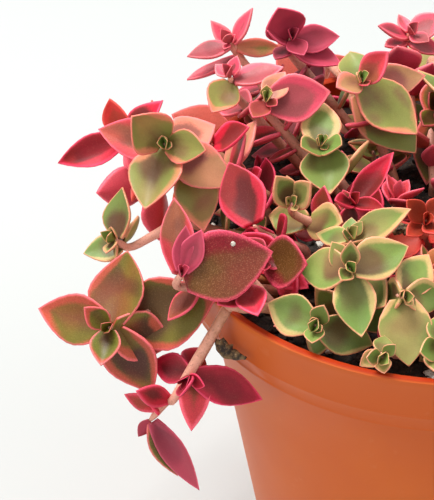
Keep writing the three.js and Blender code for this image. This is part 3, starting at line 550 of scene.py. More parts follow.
class Shader:
    """A material under construction, with one method that adds any node."""

    def __init__(self, name: str) -> None:
        """Starts a material with a Principled shader."""
        self.material = bpy.data.materials.new(name)
        self.material.use_nodes = True
        self.tree = self.material.node_tree
        self.principled = self.tree.nodes["Principled BSDF"]

    def node(self, kind: str, settings: Dict[str, Any], inputs: Dict[Any, Any], output: Any = 0) -> Wire:
        """Adds a node.

        Args:
            kind: The node's type.
            settings: Its own settings, set before its sockets.
            inputs: Values or wires by the name or number of the socket.
            output: The name or number of the socket that is returned.

        Returns:
            The wire from the node's output.
        """
        made = self.tree.nodes.new(kind)
        for name, value in settings.items():
            setattr(made, name, value)
        for name, value in inputs.items():
            self.feed(made.inputs[name], value)
        return Wire(self, made.outputs[output])

    def feed(self, socket: Any, value: Any) -> None:
        """Links a wire to a socket, or sets the socket's own value.

        Args:
            socket: The input socket.
            value: A wire, a number, a vector or a colour without its alpha.
        """
        if isinstance(value, Wire):
            self.tree.links.new(value.socket, socket)
        elif isinstance(value, tuple) and len(value) == 3 and socket.type == "RGBA":
            socket.default_value = (*value, 1.0)
        else:
            socket.default_value = value

    def place(self) -> Wire:
        """Returns the object coordinates."""
        return self.node("ShaderNodeTexCoord", {}, {}, "Object")

    def attribute(self, name: str, output: str = "Fac") -> Wire:
        """Returns one of the mesh's own attributes."""
        return self.node("ShaderNodeAttribute", {"attribute_name": name}, {}, output)

    def speckle(self, scale: float, detail: float = 2.0) -> Wire:
        """Returns soft noise from 0 to 1 with so many spots in a metre."""
        inputs = {"Vector": self.place(), "Scale": scale, "Detail": detail}
        return self.node("ShaderNodeTexNoise", {}, inputs, "Fac")

    def cells(self, scale: float) -> Wire:
        """Returns the distance to the middle of small cells, so many in a metre."""
        return self.node("ShaderNodeTexVoronoi", {}, {"Vector": self.place(), "Scale": scale}, "Distance")

    def ramp(self, value: Any, low: float, high: float, start: float = 0.0, end: float = 1.0) -> Wire:
        """Returns a smooth step of a value from start at low to end at high."""
        inputs = {0: value, 1: low, 2: high, 3: start, 4: end}
        return self.node("ShaderNodeMapRange", {"interpolation_type": "SMOOTHSTEP"}, inputs)

    def mix(self, share: Any, first: Any, second: Any) -> Wire:
        """Returns a colour between two colours."""
        inputs = {0: share, 6: first, 7: second}
        return self.node("ShaderNodeMix", {"data_type": "RGBA"}, inputs, 2)

    def bump(self, height: Wire, strength: float, distance: float) -> None:
        """Feeds a height into the shader's normal."""
        inputs = {"Height": height, "Strength": strength, "Distance": distance}
        self.feed(self.principled.inputs["Normal"], self.node("ShaderNodeBump", {}, inputs))

    def finish(self, **sockets: Any) -> bpy.types.Material:
        """Sets the Principled shader's sockets by name, with _ for spaces, and returns the material."""
        for name, value in sockets.items():
            self.feed(self.principled.inputs[name.replace("_", " ")], value)
        return self.material


@dataclass(frozen=True)
class LeafFinish:
    """Matte, finely dotted leaf skin: a mauve heart that is partly the leaf's own colour and partly painted
    shade near its base and midrib, green flesh, a soft blush and a thin light edge.
    """

    wander: float = 1.5
    stipple: float = 0.8
    grains: float = 4300.0
    roughness: float = 0.34
    specular: float = 0.26
    depth: Point = (0.0016, 0.0007, 0.0004)
    patches: Colour = linear(96, 54, 36)
    dark_dots: Colour = linear(66, 30, 20)
    pale_dots: Colour = linear(226, 178, 136)

    def material(self) -> bpy.types.Material:
        """Returns the material that every leaf shares. Colours come from the leaf's own attributes."""
        s = Shader("leaf_skin")
        colour = s.mix(s.ramp(s.attribute("side"), 0.4, 0.6), *self.sides(s))
        patch = s.ramp(s.speckle(230.0, 3.0), 0.4, 0.75, 0.0, 0.3)
        colour = s.mix(patch, colour, s.mix(0.5, colour, self.patches))
        dots = s.attribute("dots")
        fine = s.speckle(self.grains, 1.0)
        colour = s.mix(s.ramp(fine, 0.5, 0.6) * dots, colour, s.mix(0.6, colour, self.dark_dots))
        pale = s.ramp(fine, 0.42, 0.32, 0.0, 0.5) * dots
        colour = s.mix(pale, colour, s.mix(0.5, colour, self.pale_dots))
        s.bump(fine * 0.6 + s.speckle(900.0, 2.0), 0.2, 0.0002)
        rough = s.speckle(700.0, 2.0) * 0.2 + self.roughness
        return s.finish(Base_Color=colour, Roughness=rough, Subsurface_Weight=0.08,
                        Subsurface_Radius=self.depth, Subsurface_Scale=1.0, Specular_IOR_Level=self.specular)

    def sides(self, s: Shader) -> Tuple[Wire, Wire]:
        """Colours the two sides of the leaves.

        Args:
            s: The shader under construction.

        Returns:
            The colours of the upper side and of the underside.
        """
        rim, blush_colour = s.attribute("rim"), s.attribute("blush", "Color")
        edge_colour = s.attribute("edge", "Color")
        drift = self.clouds(s, 85.0) * self.wander * 2
        grain = (s.speckle(2600.0, 1.0) - 0.5) * self.stipple
        # The heart is partly the leaf's own darker colour and partly painted shade near the base and along
        # the midrib
        heart = s.ramp(s.attribute("heart_share") + self.clouds(s, 120.0) * 0.7 + grain * 0.2, 0.2, 1.0)
        body = s.mix(heart, s.attribute("flesh", "Color"), s.attribute("heart", "Color"))
        flush = s.ramp(s.speckle(65.0, 0.5), 0.52, 0.66, 0.0, 0.3)
        body = s.mix(flush, body, blush_colour)
        blush = s.ramp(rim + drift + grain, 0.3, 1.9, 1.0, 0.0)
        edge = s.ramp(rim + drift * 0.1 + grain * 0.35, 0.05, 0.85, 1.0, 0.0)
        top = s.mix(edge * 0.92, s.mix(blush, body, blush_colour), edge_colour)
        return top, s.mix(edge * 0.7, s.attribute("under", "Color"), edge_colour)

    @staticmethod
    def clouds(s: Shader, scale: float) -> Wire:
        """Returns soft clouds from -0.5 to 0.5, with so many in a metre."""
        return s.ramp(s.speckle(scale, 0.5), 0.38, 0.62) - 0.5


@dataclass(frozen=True)
class StemFinish:
    """Smooth stem skin, pink-tan near the tip and brown-olive further down, with fine scars."""

    young: Colour = linear(228, 162, 140)
    old: Colour = linear(156, 96, 50)
    scar: Colour = linear(110, 60, 44)

    def material(self) -> bpy.types.Material:
        """Returns the material of the stems."""
        s = Shader("stem_skin")
        mottle = s.speckle(700.0, 3.0)
        colour = s.mix(s.ramp(s.attribute("age") + (mottle - 0.5) * 0.5, 0.15, 0.85), self.young, self.old)
        colour = s.mix(s.ramp(s.speckle(2200.0, 2.0), 0.55, 0.7, 0.0, 0.35), colour, self.scar)
        s.bump(s.speckle(1800.0, 3.0), 0.25, 0.0002)
        return s.finish(Base_Color=colour, Roughness=mottle * 0.2 + 0.45)


@dataclass(frozen=True)
class PotFinish:
    """Satin moulded plastic in terracotta orange, with painted shade that deepens it on the lip's top and
    inside, and faint flow marks.
    """

    orange: Colour = linear(203, 98, 35)
    deep: Colour = linear(195, 88, 31)
    # Painted shade: the deep colour of the lip's top and the inner wall stands in for the shade that falls
    # there
    inside: Colour = linear(164, 46, 6)
    flow_mark: Colour = linear(224, 160, 128)
    specular: float = 0.24

    def material(self) -> bpy.types.Material:
        """Returns the material of the pot. The mesh says which of its points lie inside, where the painted
        shade colour goes.
        """
        s = Shader("pot_plastic")
        colour = s.mix(s.ramp(s.speckle(22.0, 3.0), 0.3, 0.7), self.orange, self.deep)
        colour = s.mix(s.ramp(s.speckle(260.0, 5.0), 0.64, 0.74, 0.0, 0.06), colour, self.flow_mark)
        # Painted shade on the lip's top and inside the pot, where the mesh's inside attribute says
        colour = s.mix(s.attribute("inside"), colour, self.inside)
        s.bump(s.speckle(2600.0, 2.0), 0.05, 0.0001)
        rough = s.speckle(60.0, 3.0) * 0.1 + 0.4
        return s.finish(Base_Color=colour, Roughness=rough, Specular_IOR_Level=self.specular)


@dataclass(frozen=True)
class CompostFinish:
    """Damp peat compost: dark brown crumbs with lighter fibres."""

    dark: Colour = linear(26, 18, 14)
    light: Colour = linear(62, 44, 31)
    fibre: Colour = linear(120, 92, 66)

    def material(self) -> bpy.types.Material:
        """Returns the material of the compost."""
        s = Shader("compost")
        crumbs = s.cells(620.0)
        grain = s.speckle(1500.0, 4.0)
        colour = s.mix(s.ramp(crumbs * 0.6 + grain * 0.6, 0.25, 0.85), self.light, self.dark)
        colour = s.mix(s.ramp(s.speckle(900.0, 5.0), 0.62, 0.7, 0.0, 0.5), colour, self.fibre)
        s.bump(grain * 0.5 + crumbs, 0.9, 0.0012)
        return s.finish(Base_Color=colour, Roughness=grain * 0.15 + 0.8)


@dataclass(frozen=True)
class MineralFinish:
    """Perlite: off-white, pitted and dusty, with painted shade in the hollows of its pits."""

    white: Colour = linear(226, 220, 206)
    # Painted shade for the hollows of the bumped pits
    pit_shade: Colour = linear(170, 156, 136)

    def material(self) -> bpy.types.Material:
        """Returns the material of the perlite bits."""
        s = Shader("perlite")
        pits = s.cells(1900.0)
        # Painted shade: the pit colour goes where the bump is lowest, in the pits
        colour = s.mix(s.ramp(pits, 0.1, 0.4), self.pit_shade, self.white)
        s.bump(pits, 0.5, 0.0003)
        return s.finish(Base_Color=colour, Roughness=s.speckle(800.0) * 0.1 + 0.8)


@dataclass(frozen=True)
class DryLeafFinish:
    """Withered leaf skin: brown and papery, with painted shade in the hollows of its fine folds and lighter
    worn spots.
    """

    brown: Colour = linear(122, 96, 62)
    # Painted shade for the hollows of the bumped folds
    crease: Colour = linear(44, 32, 22)
    worn: Colour = linear(188, 160, 128)

    def material(self) -> bpy.types.Material:
        """Returns the material of the withered leaves."""
        s = Shader("dry_leaf")
        folds = s.speckle(900.0, 4.0)
        # Painted shade: the crease colour goes where the bump is lowest, in the hollows of the folds
        colour = s.mix(s.ramp(folds, 0.38, 0.62), self.crease, self.brown)
        colour = s.mix(s.ramp(s.speckle(2600.0, 2.0), 0.6, 0.75, 0.0, 0.5), colour, self.worn)
        s.bump(folds, 0.9, 0.0008)
        return s.finish(Base_Color=colour, Roughness=folds * 0.2 + 0.7)


@dataclass(frozen=True)
class FloorFinish:
    """Pale matte studio floor."""

    white: Colour = linear(184, 187, 185)
    pale: Colour = linear(189, 191, 189)

    def material(self) -> bpy.types.Material:
        """Returns the material of the floor."""
        s = Shader("studio_floor")
        colour = s.mix(s.speckle(3.0), self.white, self.pale)
        return s.finish(Base_Color=colour, Roughness=0.9, Specular_IOR_Level=0.1)


# Mesh helpers


def deselect_all() -> None:
    """Deselects every object, because loading leaves the CAD nodes selected."""
    bpy.ops.object.select_all(action="DESELECT")


def pick(obj: bpy.types.Object) -> None:
    """Makes an object the active one and the only one that is selected."""
    deselect_all()
    obj.select_set(True)
    bpy.context.view_layer.objects.active = obj


def begin_edit(obj: bpy.types.Object) -> None:
    """Goes into edit mode on one object, with all its vertices selected."""
    pick(obj)
    bpy.ops.object.mode_set(mode="EDIT")
    bpy.ops.mesh.select_mode(type="VERT")
    bpy.ops.mesh.select_all(action="SELECT")


def end_edit() -> None:
    """Goes back to object mode."""
    bpy.ops.object.mode_set(mode="OBJECT")


def select_where(obj: bpy.types.Object, test: Callable[[Vector], bool]) -> None:
    """Selects vertices of a mesh in edit mode by their place.

    Args:
        obj: The object that is edited.
        test: Tells for the place of a vertex whether it gets selected.
    """
    bpy.ops.mesh.select_all(action="DESELECT")
    end_edit()
    for vertex in obj.data.vertices:
        vertex.select = test(vertex.co)
    bpy.ops.object.mode_set(mode="EDIT")


def apply_modifier(obj: bpy.types.Object, kind: str, **settings: Any) -> None:
    """Adds a modifier and applies it.

    Args:
        obj: The object that it changes.
        kind: The modifier's type.
        settings: Its own settings by name.
    """
    modifier = obj.modifiers.new(kind.lower(), kind)
    for name, value in settings.items():
        setattr(modifier, name, value)
    pick(obj)
    bpy.ops.object.modifier_apply(modifier=modifier.name)


def settle(obj: bpy.types.Object) -> None:
    """Applies an object's place, turn and size to its mesh."""
    pick(obj)
    bpy.ops.object.transform_apply(location=True, rotation=True, scale=True)


def shade_smooth(mesh: bpy.types.Mesh) -> None:
    """Shades all faces of a mesh smooth."""
    mesh.polygons.foreach_set("use_smooth", [True] * len(mesh.polygons))


def disc(radius: float, height: float, sides: int) -> bpy.types.Object:
    """Adds a flat disc round the Z axis.

    Args:
        radius: Its radius (mm).
        height: Its height (mm).
        sides: The number of its corners.

    Returns:
        The disc, with its place in its mesh.
    """
    deselect_all()
    bpy.ops.mesh.primitive_circle_add(vertices=sides, radius=radius * MM, fill_type="NGON",
                                      location=(0, 0, height * MM))
    made = bpy.context.object
    settle(made)
    return made


def draw_up(rings: Sequence[Tuple[float, float]]) -> None:
    """Extrudes the selected loop from ring to ring in edit mode, and closes the last one with a face.

    Args:
        rings: The radius and height of each ring (mm), that of the selected loop first.
    """
    for (radius, height), (next_radius, next_height) in zip(rings, rings[1:]):
        rise = (0, 0, (next_height - height) * MM)
        bpy.ops.mesh.extrude_edges_move(TRANSFORM_OT_translate={"value": rise})
        share = next_radius / radius
        bpy.ops.transform.resize(value=(share, share, 1), center_override=(0, 0, next_height * MM))
    bpy.ops.mesh.edge_face_add()


def finish_solid() -> None:
    """Points all faces of the edited mesh outwards and goes back to object mode."""
    bpy.ops.mesh.select_all(action="SELECT")
    bpy.ops.mesh.normals_make_consistent(inside=False)
    end_edit()


def dress(obj: bpy.types.Object, name: str, materials: Sequence[bpy.types.Material]) -> bpy.types.Object:
    """Names a finished piece, gives it its materials and lets it ride on the part's body.

    Args:
        obj: The finished mesh object.
        name: The piece's name.
        materials: Its materials, in the order of its material indices.

    Returns:
        The same object.
    """
    obj.name = name
    obj.data.name = name
    for material in materials:
        obj.data.materials.append(material)
    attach(obj, ROOT_BODY)
    LOG.info("%s: %d faces", name, len(obj.data.polygons))
    return obj


class MeshDraft:
    """Parts of one piece, gathered as arrays and made into one mesh at the end."""

    FLOATS = ("rim", "heart_share", "side", "age", "dots")
    COLOURS = ("heart", "flesh", "blush", "edge", "under")

    def __init__(self) -> None:
        """Starts with nothing."""
        self.points: List[np.ndarray] = []
        self.faces: List[Tuple[int, ...]] = []
        self.slots: List[int] = []
        self.values: Dict[str, List[np.ndarray]] = {n: [] for n in self.FLOATS + self.COLOURS}
        self.count = 0

    def add(self, points: np.ndarray, faces: Sequence[Tuple[int, ...]], slot: int, **values: Any) -> None:
        """Adds one part.

        Args:
            points: Its vertices in millimetres.
            faces: Its faces by its own vertex numbers.
            slot: The index of its material.
            values: Attribute values for its vertices, one for all or one each.
        """
        n = len(points)
        self.points.append(points)
        self.faces.extend(tuple(k + self.count for k in face) for face in faces)
        self.slots.extend([slot] * len(faces))
        for name, kept in self.values.items():
            shape = (n, 3) if name in self.COLOURS else (n,)
            kept.append(np.broadcast_to(np.asarray(values.get(name, 0.0), float), shape))
        self.count += n

    def build(self, name: str) -> bpy.types.Object:
        """Makes the mesh object in metres, with the attributes that its materials read.

        Args:
            name: The name of the mesh and the object.

        Returns:
            The object, linked to the scene.
        """
        mesh = bpy.data.meshes.new(name)
        places = np.concatenate(self.points) * MM
        mesh.from_pydata(places.tolist(), [], self.faces)
        mesh.polygons.foreach_set("material_index", self.slots)
        shade_smooth(mesh)
        for title, kept in self.values.items():
            kind, key = ("FLOAT_VECTOR", "vector") if title in self.COLOURS else ("FLOAT", "value")
            layer = mesh.attributes.new(title, kind, "POINT")
            layer.data.foreach_set(key, np.concatenate(kept).astype(np.float32).ravel())
        mesh.update()
        obj = bpy.data.objects.new(name, mesh)
        bpy.context.scene.collection.objects.link(obj)
        return obj


# The pot


@dataclass
class NurseryPot:
    """A thin moulded pot (mm): tapered wall, collar with two fine lines, rolled lip and holed bottom."""

    height: float = 100.0
    rim_radius: float = 60.0
    lip_width: float = 2.0
    collar_radius: float = 56.8
    collar_depth: float = 15.2
    collar_bend: float = 10.6
    collar_bend_radius: float = 58.4
    wall_top_radius: float = 52.6
    base_radius: float = 37.3
    wall: float = 1.4
    foot_round: float = 1.5
    sides: int = 112
    face_inset: float = 0.35
    sharpest: float = 38.0
    holes: int = 6
    hole_ring: float = 24.0
    hole_radius: float = 4.0
    hole_depth: float = 6.0
    hole_sides: int = 24

    # One fine line of the collar, from below: height and bulge from the line's own place
    BEAD = ((-0.35, 0.0), (-0.18, 0.06), (0.0, 0.1), (0.18, 0.07), (0.4, 0.01))

    @property
    def step(self) -> float:
        """Returns the height at which the collar starts."""
        return self.height - self.collar_depth

    def wall_radius(self, z: float) -> float:
        """Returns the outer radius at a height on the wall."""
        return self.base_radius + (self.wall_top_radius - self.base_radius) * z / self.step

    def profile(self) -> List[Tuple[float, float]]:
        """Returns the radius and height of each ring, from the middle of the bottom round to the inside."""
        top, step = self.height, self.step
        bend = top - self.collar_bend
        rim, lip = self.rim_radius, self.lip_width
        foot = [(self.base_radius - 4.5, 0.5), (self.base_radius - 3.9, 0.0),
                (self.base_radius - self.foot_round, 0.0), (self.wall_radius(0.5) - 0.42, 0.42),
                (self.wall_radius(self.foot_round), self.foot_round)]
        wall = [(self.wall_radius(z), float(z)) for z in (22, 44, 66)]
        collar = [(self.wall_top_radius - 0.05, step - 0.5), (self.wall_top_radius + 0.25, step - 0.12)]
        slope = (self.collar_bend_radius - self.collar_radius) / (bend - step)
        for height in (step + 0.35, bend):
            radius = self.collar_radius + slope * (height - step)
            collar += [(radius - 0.05 + bulge, height + rise) for rise, bulge in self.BEAD]
        lips = [(rim - 0.35, top - 2.0), (rim - 0.08, top - 1.0), (rim - 0.12, top - 0.4), (rim - 0.5, top),
                (rim - lip + 0.45, top), (rim - lip, top - 0.35)]
        floor_radius = self.wall_radius(self.wall) - self.wall
        inside = [(rim - lip - 0.25, top - 2.2), (self.collar_bend_radius - self.wall, bend),
                  (self.collar_radius - self.wall, step + self.wall),
                  (self.wall_top_radius - self.wall, step - self.wall),
                  (floor_radius, self.wall + 0.6), (floor_radius - 0.8, self.wall)]
        return foot + wall + collar + lips + inside

    def build(self) -> None:
        """Draws the pot up ring by ring from a disc, drills its holes and marks its inside for the painted
        shade colour.
        """
        rings = self.profile()
        first_radius = rings[0][0]
        pot = disc(*rings[0], self.sides)
        begin_edit(pot)
        self.inset_twice(first_radius)
        select_where(pot, lambda co: abs(math.hypot(co.x, co.y) - first_radius * MM) < 1e-6)
        draw_up(rings)
        self.inset_twice(rings[-1][0])
        finish_solid()
        self.drill(pot)
        # Marks the lip's top and the inner wall for the painted shade colour
        inside = pot.data.attributes.new("inside", "FLOAT", "POINT")
        inside.data.foreach_set("value", [self.inside(v.co / MM) for v in pot.data.vertices])
        pick(pot)
        bpy.ops.object.shade_smooth_by_angle(angle=math.radians(self.sharpest))
        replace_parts(dress(pot, "nursery_pot", [PotFinish().material()]), "pot")

    def inset_twice(self, radius: float) -> None:
        """Insets the selected round face of a radius (mm) twice, so that it isn't one large face."""
        for _ in range(2):
            bpy.ops.mesh.inset(thickness=radius * self.face_inset * MM)

    def inside(self, place: Vector) -> float:
        """Tells how much of the inner colour, the painted shade of the lip's top and inside, a point has.

        Args:
            place: The point (mm).

        Returns:
            1 on the inner half of the lip's top and on the inner wall, a share on the outer half, and 0 on
            the outside.
        """
        reach = math.hypot(place.x, place.y)
        if place.z > self.height - 0.2:
            return 1.0 if reach < self.rim_radius - 0.4 else 0.4
        outer = self.wall_radius(place.z)
        if place.z > self.step:
            outer = self.collar_radius + 0.3
        if place.z > self.height - 3:
            outer = self.rim_radius - 1
        return 1.0 if 1 < place.z and reach < outer - 0.9 else 0.0

    def drill(self, pot: bpy.types.Object) -> None:
        """Cuts the drainage holes through the bottom.

        Args:
            pot: The pot without its holes.
        """
        for k in range(self.holes):
            angle = k / self.holes * 2 * math.pi
            place = (self.hole_ring * math.cos(angle) * MM, self.hole_ring * math.sin(angle) * MM,
                     self.wall / 2 * MM)
            deselect_all()
            bpy.ops.mesh.primitive_cylinder_add(vertices=self.hole_sides, radius=self.hole_radius * MM,
                                                depth=self.hole_depth * MM, location=place)
            cutter = bpy.context.object
            settle(cutter)
            apply_modifier(pot, "BOOLEAN", operation="DIFFERENCE", object=cutter, solver="EXACT")
            bpy.data.objects.remove(cutter)


# The compost


@dataclass(frozen=True)
class SoilShape:
    """The shape of the compost's uneven top (mm), as in the part's source."""

    top: float = 94.0
    rim_drop: float = 1.5
    relief: float = 1.1
    radius: float = 56.8

    def height(self, x: float, y: float) -> float:
        """Returns the height of the compost's top at a place."""
        r = math.hypot(x, y) / self.radius
        waves = math.sin(x * 0.31 + 1.2) * math.cos(y * 0.27 - 0.4) + 0.6 * math.sin(x * 0.11 - y * 0.43)
        return self.top - self.rim_drop * r * r + self.relief * waves * (1 - r * r)


@dataclass
class Compost:
    """Peat compost that fills the pot, with loose crumbs and perlite on top (mm)."""

    pot: NurseryPot
    soil: SoilShape
    gap: float = 0.25
    floor_flare: float = 0.3
    edge_radius: float = 56.7
    sides: int = 96
    top_rings: int = 26
    crumbs: int = 420
    crumb_sizes: Tuple[float, float] = (0.5, 1.5)
    perlite: int = 46
    perlite_sizes: Tuple[float, float] = (0.5, 1.25)
    seed: int = 77

    def surface(self, x: float, y: float) -> float:
        """Returns the height of the crumbly top at a place."""
        lumps = noise.noise(Vector((x * 0.33, y * 0.33, 2.0))) * 0.8 + noise.noise(Vector((x, y, 5.0))) * 0.35
        fade = max(0.0, 1 - (math.hypot(x, y) / self.edge_radius) ** 6)
        return self.soil.height(x, y) + lumps * fade

    def build(self) -> None:
        """Makes the body of the compost and scatters the bits on it."""
        pot = self.pot
        inset = pot.wall + self.gap
        edge = self.soil.top - self.soil.rim_drop
        rings = [(pot.base_radius - inset + self.floor_flare, inset),
                 (pot.wall_top_radius - inset, pot.step - inset),
                 (pot.collar_radius - inset, pot.step + inset), (self.edge_radius, edge)]
        rings += [(self.edge_radius * (1 - k / self.top_rings), edge) for k in range(1, self.top_rings)]
        body = disc(*rings[0], self.sides)
        begin_edit(body)
        draw_up(rings)
        finish_solid()
        for vertex in body.data.vertices:
            x, y = vertex.co.x / MM, vertex.co.y / MM
            if vertex.co.z / MM > edge - 0.01 and math.hypot(x, y) < self.edge_radius - 0.1:
                vertex.co.z = self.surface(x, y) * MM
        shade_smooth(body.data)
        peat = CompostFinish().material()
        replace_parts(dress(body, "compost", [peat]), "soil")
        self.scatter("compost_crumbs", self.crumbs, self.crumb_sizes, peat, 0)
        self.scatter("perlite_bits", self.perlite, self.perlite_sizes, MineralFinish().material(), 1)

    @staticmethod
    def lump() -> Tuple[np.ndarray, List[Tuple[int, ...]]]:
        """Models one uneven lump of radius 1.

        Returns:
            Its vertices and its faces.
        """
        deselect_all()
        bpy.ops.mesh.primitive_ico_sphere_add(subdivisions=2, radius=1)
        ball = bpy.context.object
        places = np.array([v.co for v in ball.data.vertices])
        swell = np.array([1 + 0.5 * noise.noise(v.co * 1.7) for v in ball.data.vertices])
        faces = [tuple(p.vertices) for p in ball.data.polygons]
        bpy.data.objects.remove(ball)
        return places * swell[:, None], faces

    def scatter(self, name: str, count: int, sizes: Tuple[float, float], material: bpy.types.Material,
                turn: int) -> None:
        """Scatters copies of one lump over the top, as one piece.

        Args:
            name: The piece's name.
            count: How many bits.
            sizes: The smallest and largest radius (mm).
            material: The bits' material.
            turn: A number that changes the draws.
        """
        lump, faces = self.lump()
        draw = Draw(self.seed + turn * 1009)
        draft = MeshDraft()
        for _ in range(count):
            angle = draw.between(0, 2 * math.pi)
            reach = math.sqrt(draw.between(0, 1)) * (self.edge_radius - 1.6)
            x, y = reach * math.cos(angle), reach * math.sin(angle)
            size = draw.between(*sizes)
            stretch = [draw.between(0.7, 1.3), draw.between(0.7, 1.3), draw.between(0.5, 0.9)]
            spin = draw.between(0, 2 * math.pi)
            c, s = math.cos(spin), math.sin(spin)
            turned = (lump * (np.array(stretch) * size)) @ np.array([[c, s, 0], [-s, c, 0], [0, 0, 1]])
            place = np.array([x, y, self.surface(x, y) + size * 0.25])
            draft.add(turned + place, faces, 0)
        dress(draft.build(name), name, [material])


# Stems


@dataclass
class StemGarden:
    """The lines of all stems, grown from the soil and spread until they are clear of each other (mm)."""

    pot: NurseryPot
    soil: SoilShape
    radius: float = 1.2
    buried: float = 8.0
    ring_spacing: float = 6.0
    apart: float = 1.9
    straight_end: float = 6.0
    rounds: int = 60
    push: float = 0.25
    fixed_start: int = 4
    fixed_end: int = 2
    first_tested: int = 2
    inside_rim: float = 53.0
    outside_rim: float = 62.5
    over_soil: float = 3.0
    over_rim: float = 2.5

    def steps_for(self, distance: float) -> int:
        """Returns the number of steps of about one ring spacing in a distance."""
        return max(1, math.floor(distance / self.ring_spacing + 0.5))

    def stem_line(self, shoot: Shoot, parent: Optional[List[np.ndarray]] = None) -> List[np.ndarray]:
        """Lays a shoot's stem line.

        Args:
            shoot: The shoot.
            parent: The line of the stem that it branches from, if it is a branch.

        Returns:
            The line from its buried end, or from its parent's stem, to its tip.
        """
        tip = np.array(shoot.tip, float)
        neck = tip - heading(*shoot.facing) * self.straight_end
        via = [np.array(p, float) for p in shoot.via]
        if parent is not None:
            fork = parent[math.floor(len(parent) * shoot.leaves_at)]
            return smooth_line([fork, *via, neck, tip], self.steps_for)
        x, y = shoot.root
        ground = self.soil.height(x, y)
        upright = [np.array([x, y, ground + rise]) for rise in (-self.buried, 1, 3.5)]
        return smooth_line([*upright, *via, neck, tip], self.steps_for)

    def spread(self, shoots: List[Shoot]) -> None:
        """Pushes stems that would touch apart, between their roots and their tips.

        Args:
            shoots: All shoots. Their lines are changed.
        """
        apart = 2 * self.radius + self.apart
        lines = [[list(map(float, p)) for p in shoot.line] for shoot in shoots]
        for _ in range(self.rounds):
            boxes = [self.box(line, apart) for line in lines]
            for i, first in enumerate(lines):
                for j in range(i + 1, len(lines)):
                    if self.boxes_meet(boxes[i], boxes[j]):
                        self.push_apart(first, lines[j], apart)
            for line in lines:
                self.relax(line)
        for shoot, line in zip(shoots, lines):
            shoot.line = [np.array(p) for p in line]

    def box(self, line: List[List[float]], margin: float) -> Tuple[List[float], List[float]]:
        """Returns the lowest and highest corner round a line, with a margin."""
        low = [min(p[k] for p in line[self.first_tested:]) - margin for k in range(3)]
        high = [max(p[k] for p in line[self.first_tested:]) + margin for k in range(3)]
        return low, high

    @staticmethod
    def boxes_meet(a: Tuple[List[float], List[float]], b: Tuple[List[float], List[float]]) -> bool:
        """Tells whether two boxes overlap."""
        return all(a[0][k] <= b[1][k] and b[0][k] <= a[1][k] for k in range(3))

    def is_free(self, line: List[List[float]], k: int) -> bool:
        """Tells whether a point of a line may move."""
        return self.fixed_start <= k < len(line) - self.fixed_end

    def push_apart(self, first: List[List[float]], second: List[List[float]], apart: float) -> None:
        """Pushes the closest points of two lines apart.

        Args:
            first: One line.
            second: The other line.
            apart: The distance from which they are clear of each other.
        """
        for a in range(self.first_tested, len(first)):
            p = first[a]
            for b in range(self.first_tested, len(second)):
                q = second[b]
                dx, dy, dz = p[0] - q[0], p[1] - q[1], p[2] - q[2]
                distance = math.sqrt(dx * dx + dy * dy + dz * dz)
                if 1e-6 < distance < apart:
                    push = self.push * (apart - distance) / distance
                    if self.is_free(first, a):
                        p[0], p[1], p[2] = p[0] + dx * push, p[1] + dy * push, p[2] + dz * push
                    if self.is_free(second, b):
                        q[0], q[1], q[2] = q[0] - dx * push, q[1] - dy * push, q[2] - dz * push

    def relax(self, line: List[List[float]]) -> None:
        """Keeps a line smooth, above the soil and over the rim.

        Args:
            line: The line, which is changed.
        """
        for k, p in enumerate(line):
            if not self.is_free(line, k):
                continue
            before, after = line[k - 1], line[k + 1]
            for axis in range(3):
                p[axis] += ((before[axis] + after[axis]) * 0.5 - p[axis]) * self.push
            r = math.hypot(p[0], p[1])
            if r < self.inside_rim:
                p[2] = max(p[2], self.soil.top + self.over_soil)
            elif r < self.outside_rim:
                p[2] = max(p[2], self.pot.height + self.over_rim)


def line_direction(line: List[np.ndarray], k: int) -> np.ndarray:
    """Returns the direction of a line at one of its points, towards the tip."""
    return unit(line[min(len(line) - 1, k + 1)] - line[max(0, k - 1)])


def station_at(line: List[np.ndarray], down: float) -> Tuple[np.ndarray, np.ndarray]:
    """Finds a place on a stem.

    Args:
        line: The stem's line.
        down: The distance down from the tip (mm).

    Returns:
        The place and the direction towards the tip.
    """
    left = down
    for k in range(len(line) - 1, 0, -1):
        length = math.dist(line[k], line[k - 1])
        if length >= left or k == 1:
            share = min(1.0, left / length)
            point = line[k] + (line[k - 1] - line[k]) * share
            towards, before = line_direction(line, k), line_direction(line, k - 1)
            return point, unit(towards + (before - towards) * share)
        left -= length
    return line[0].copy(), line_direction(line, 0)


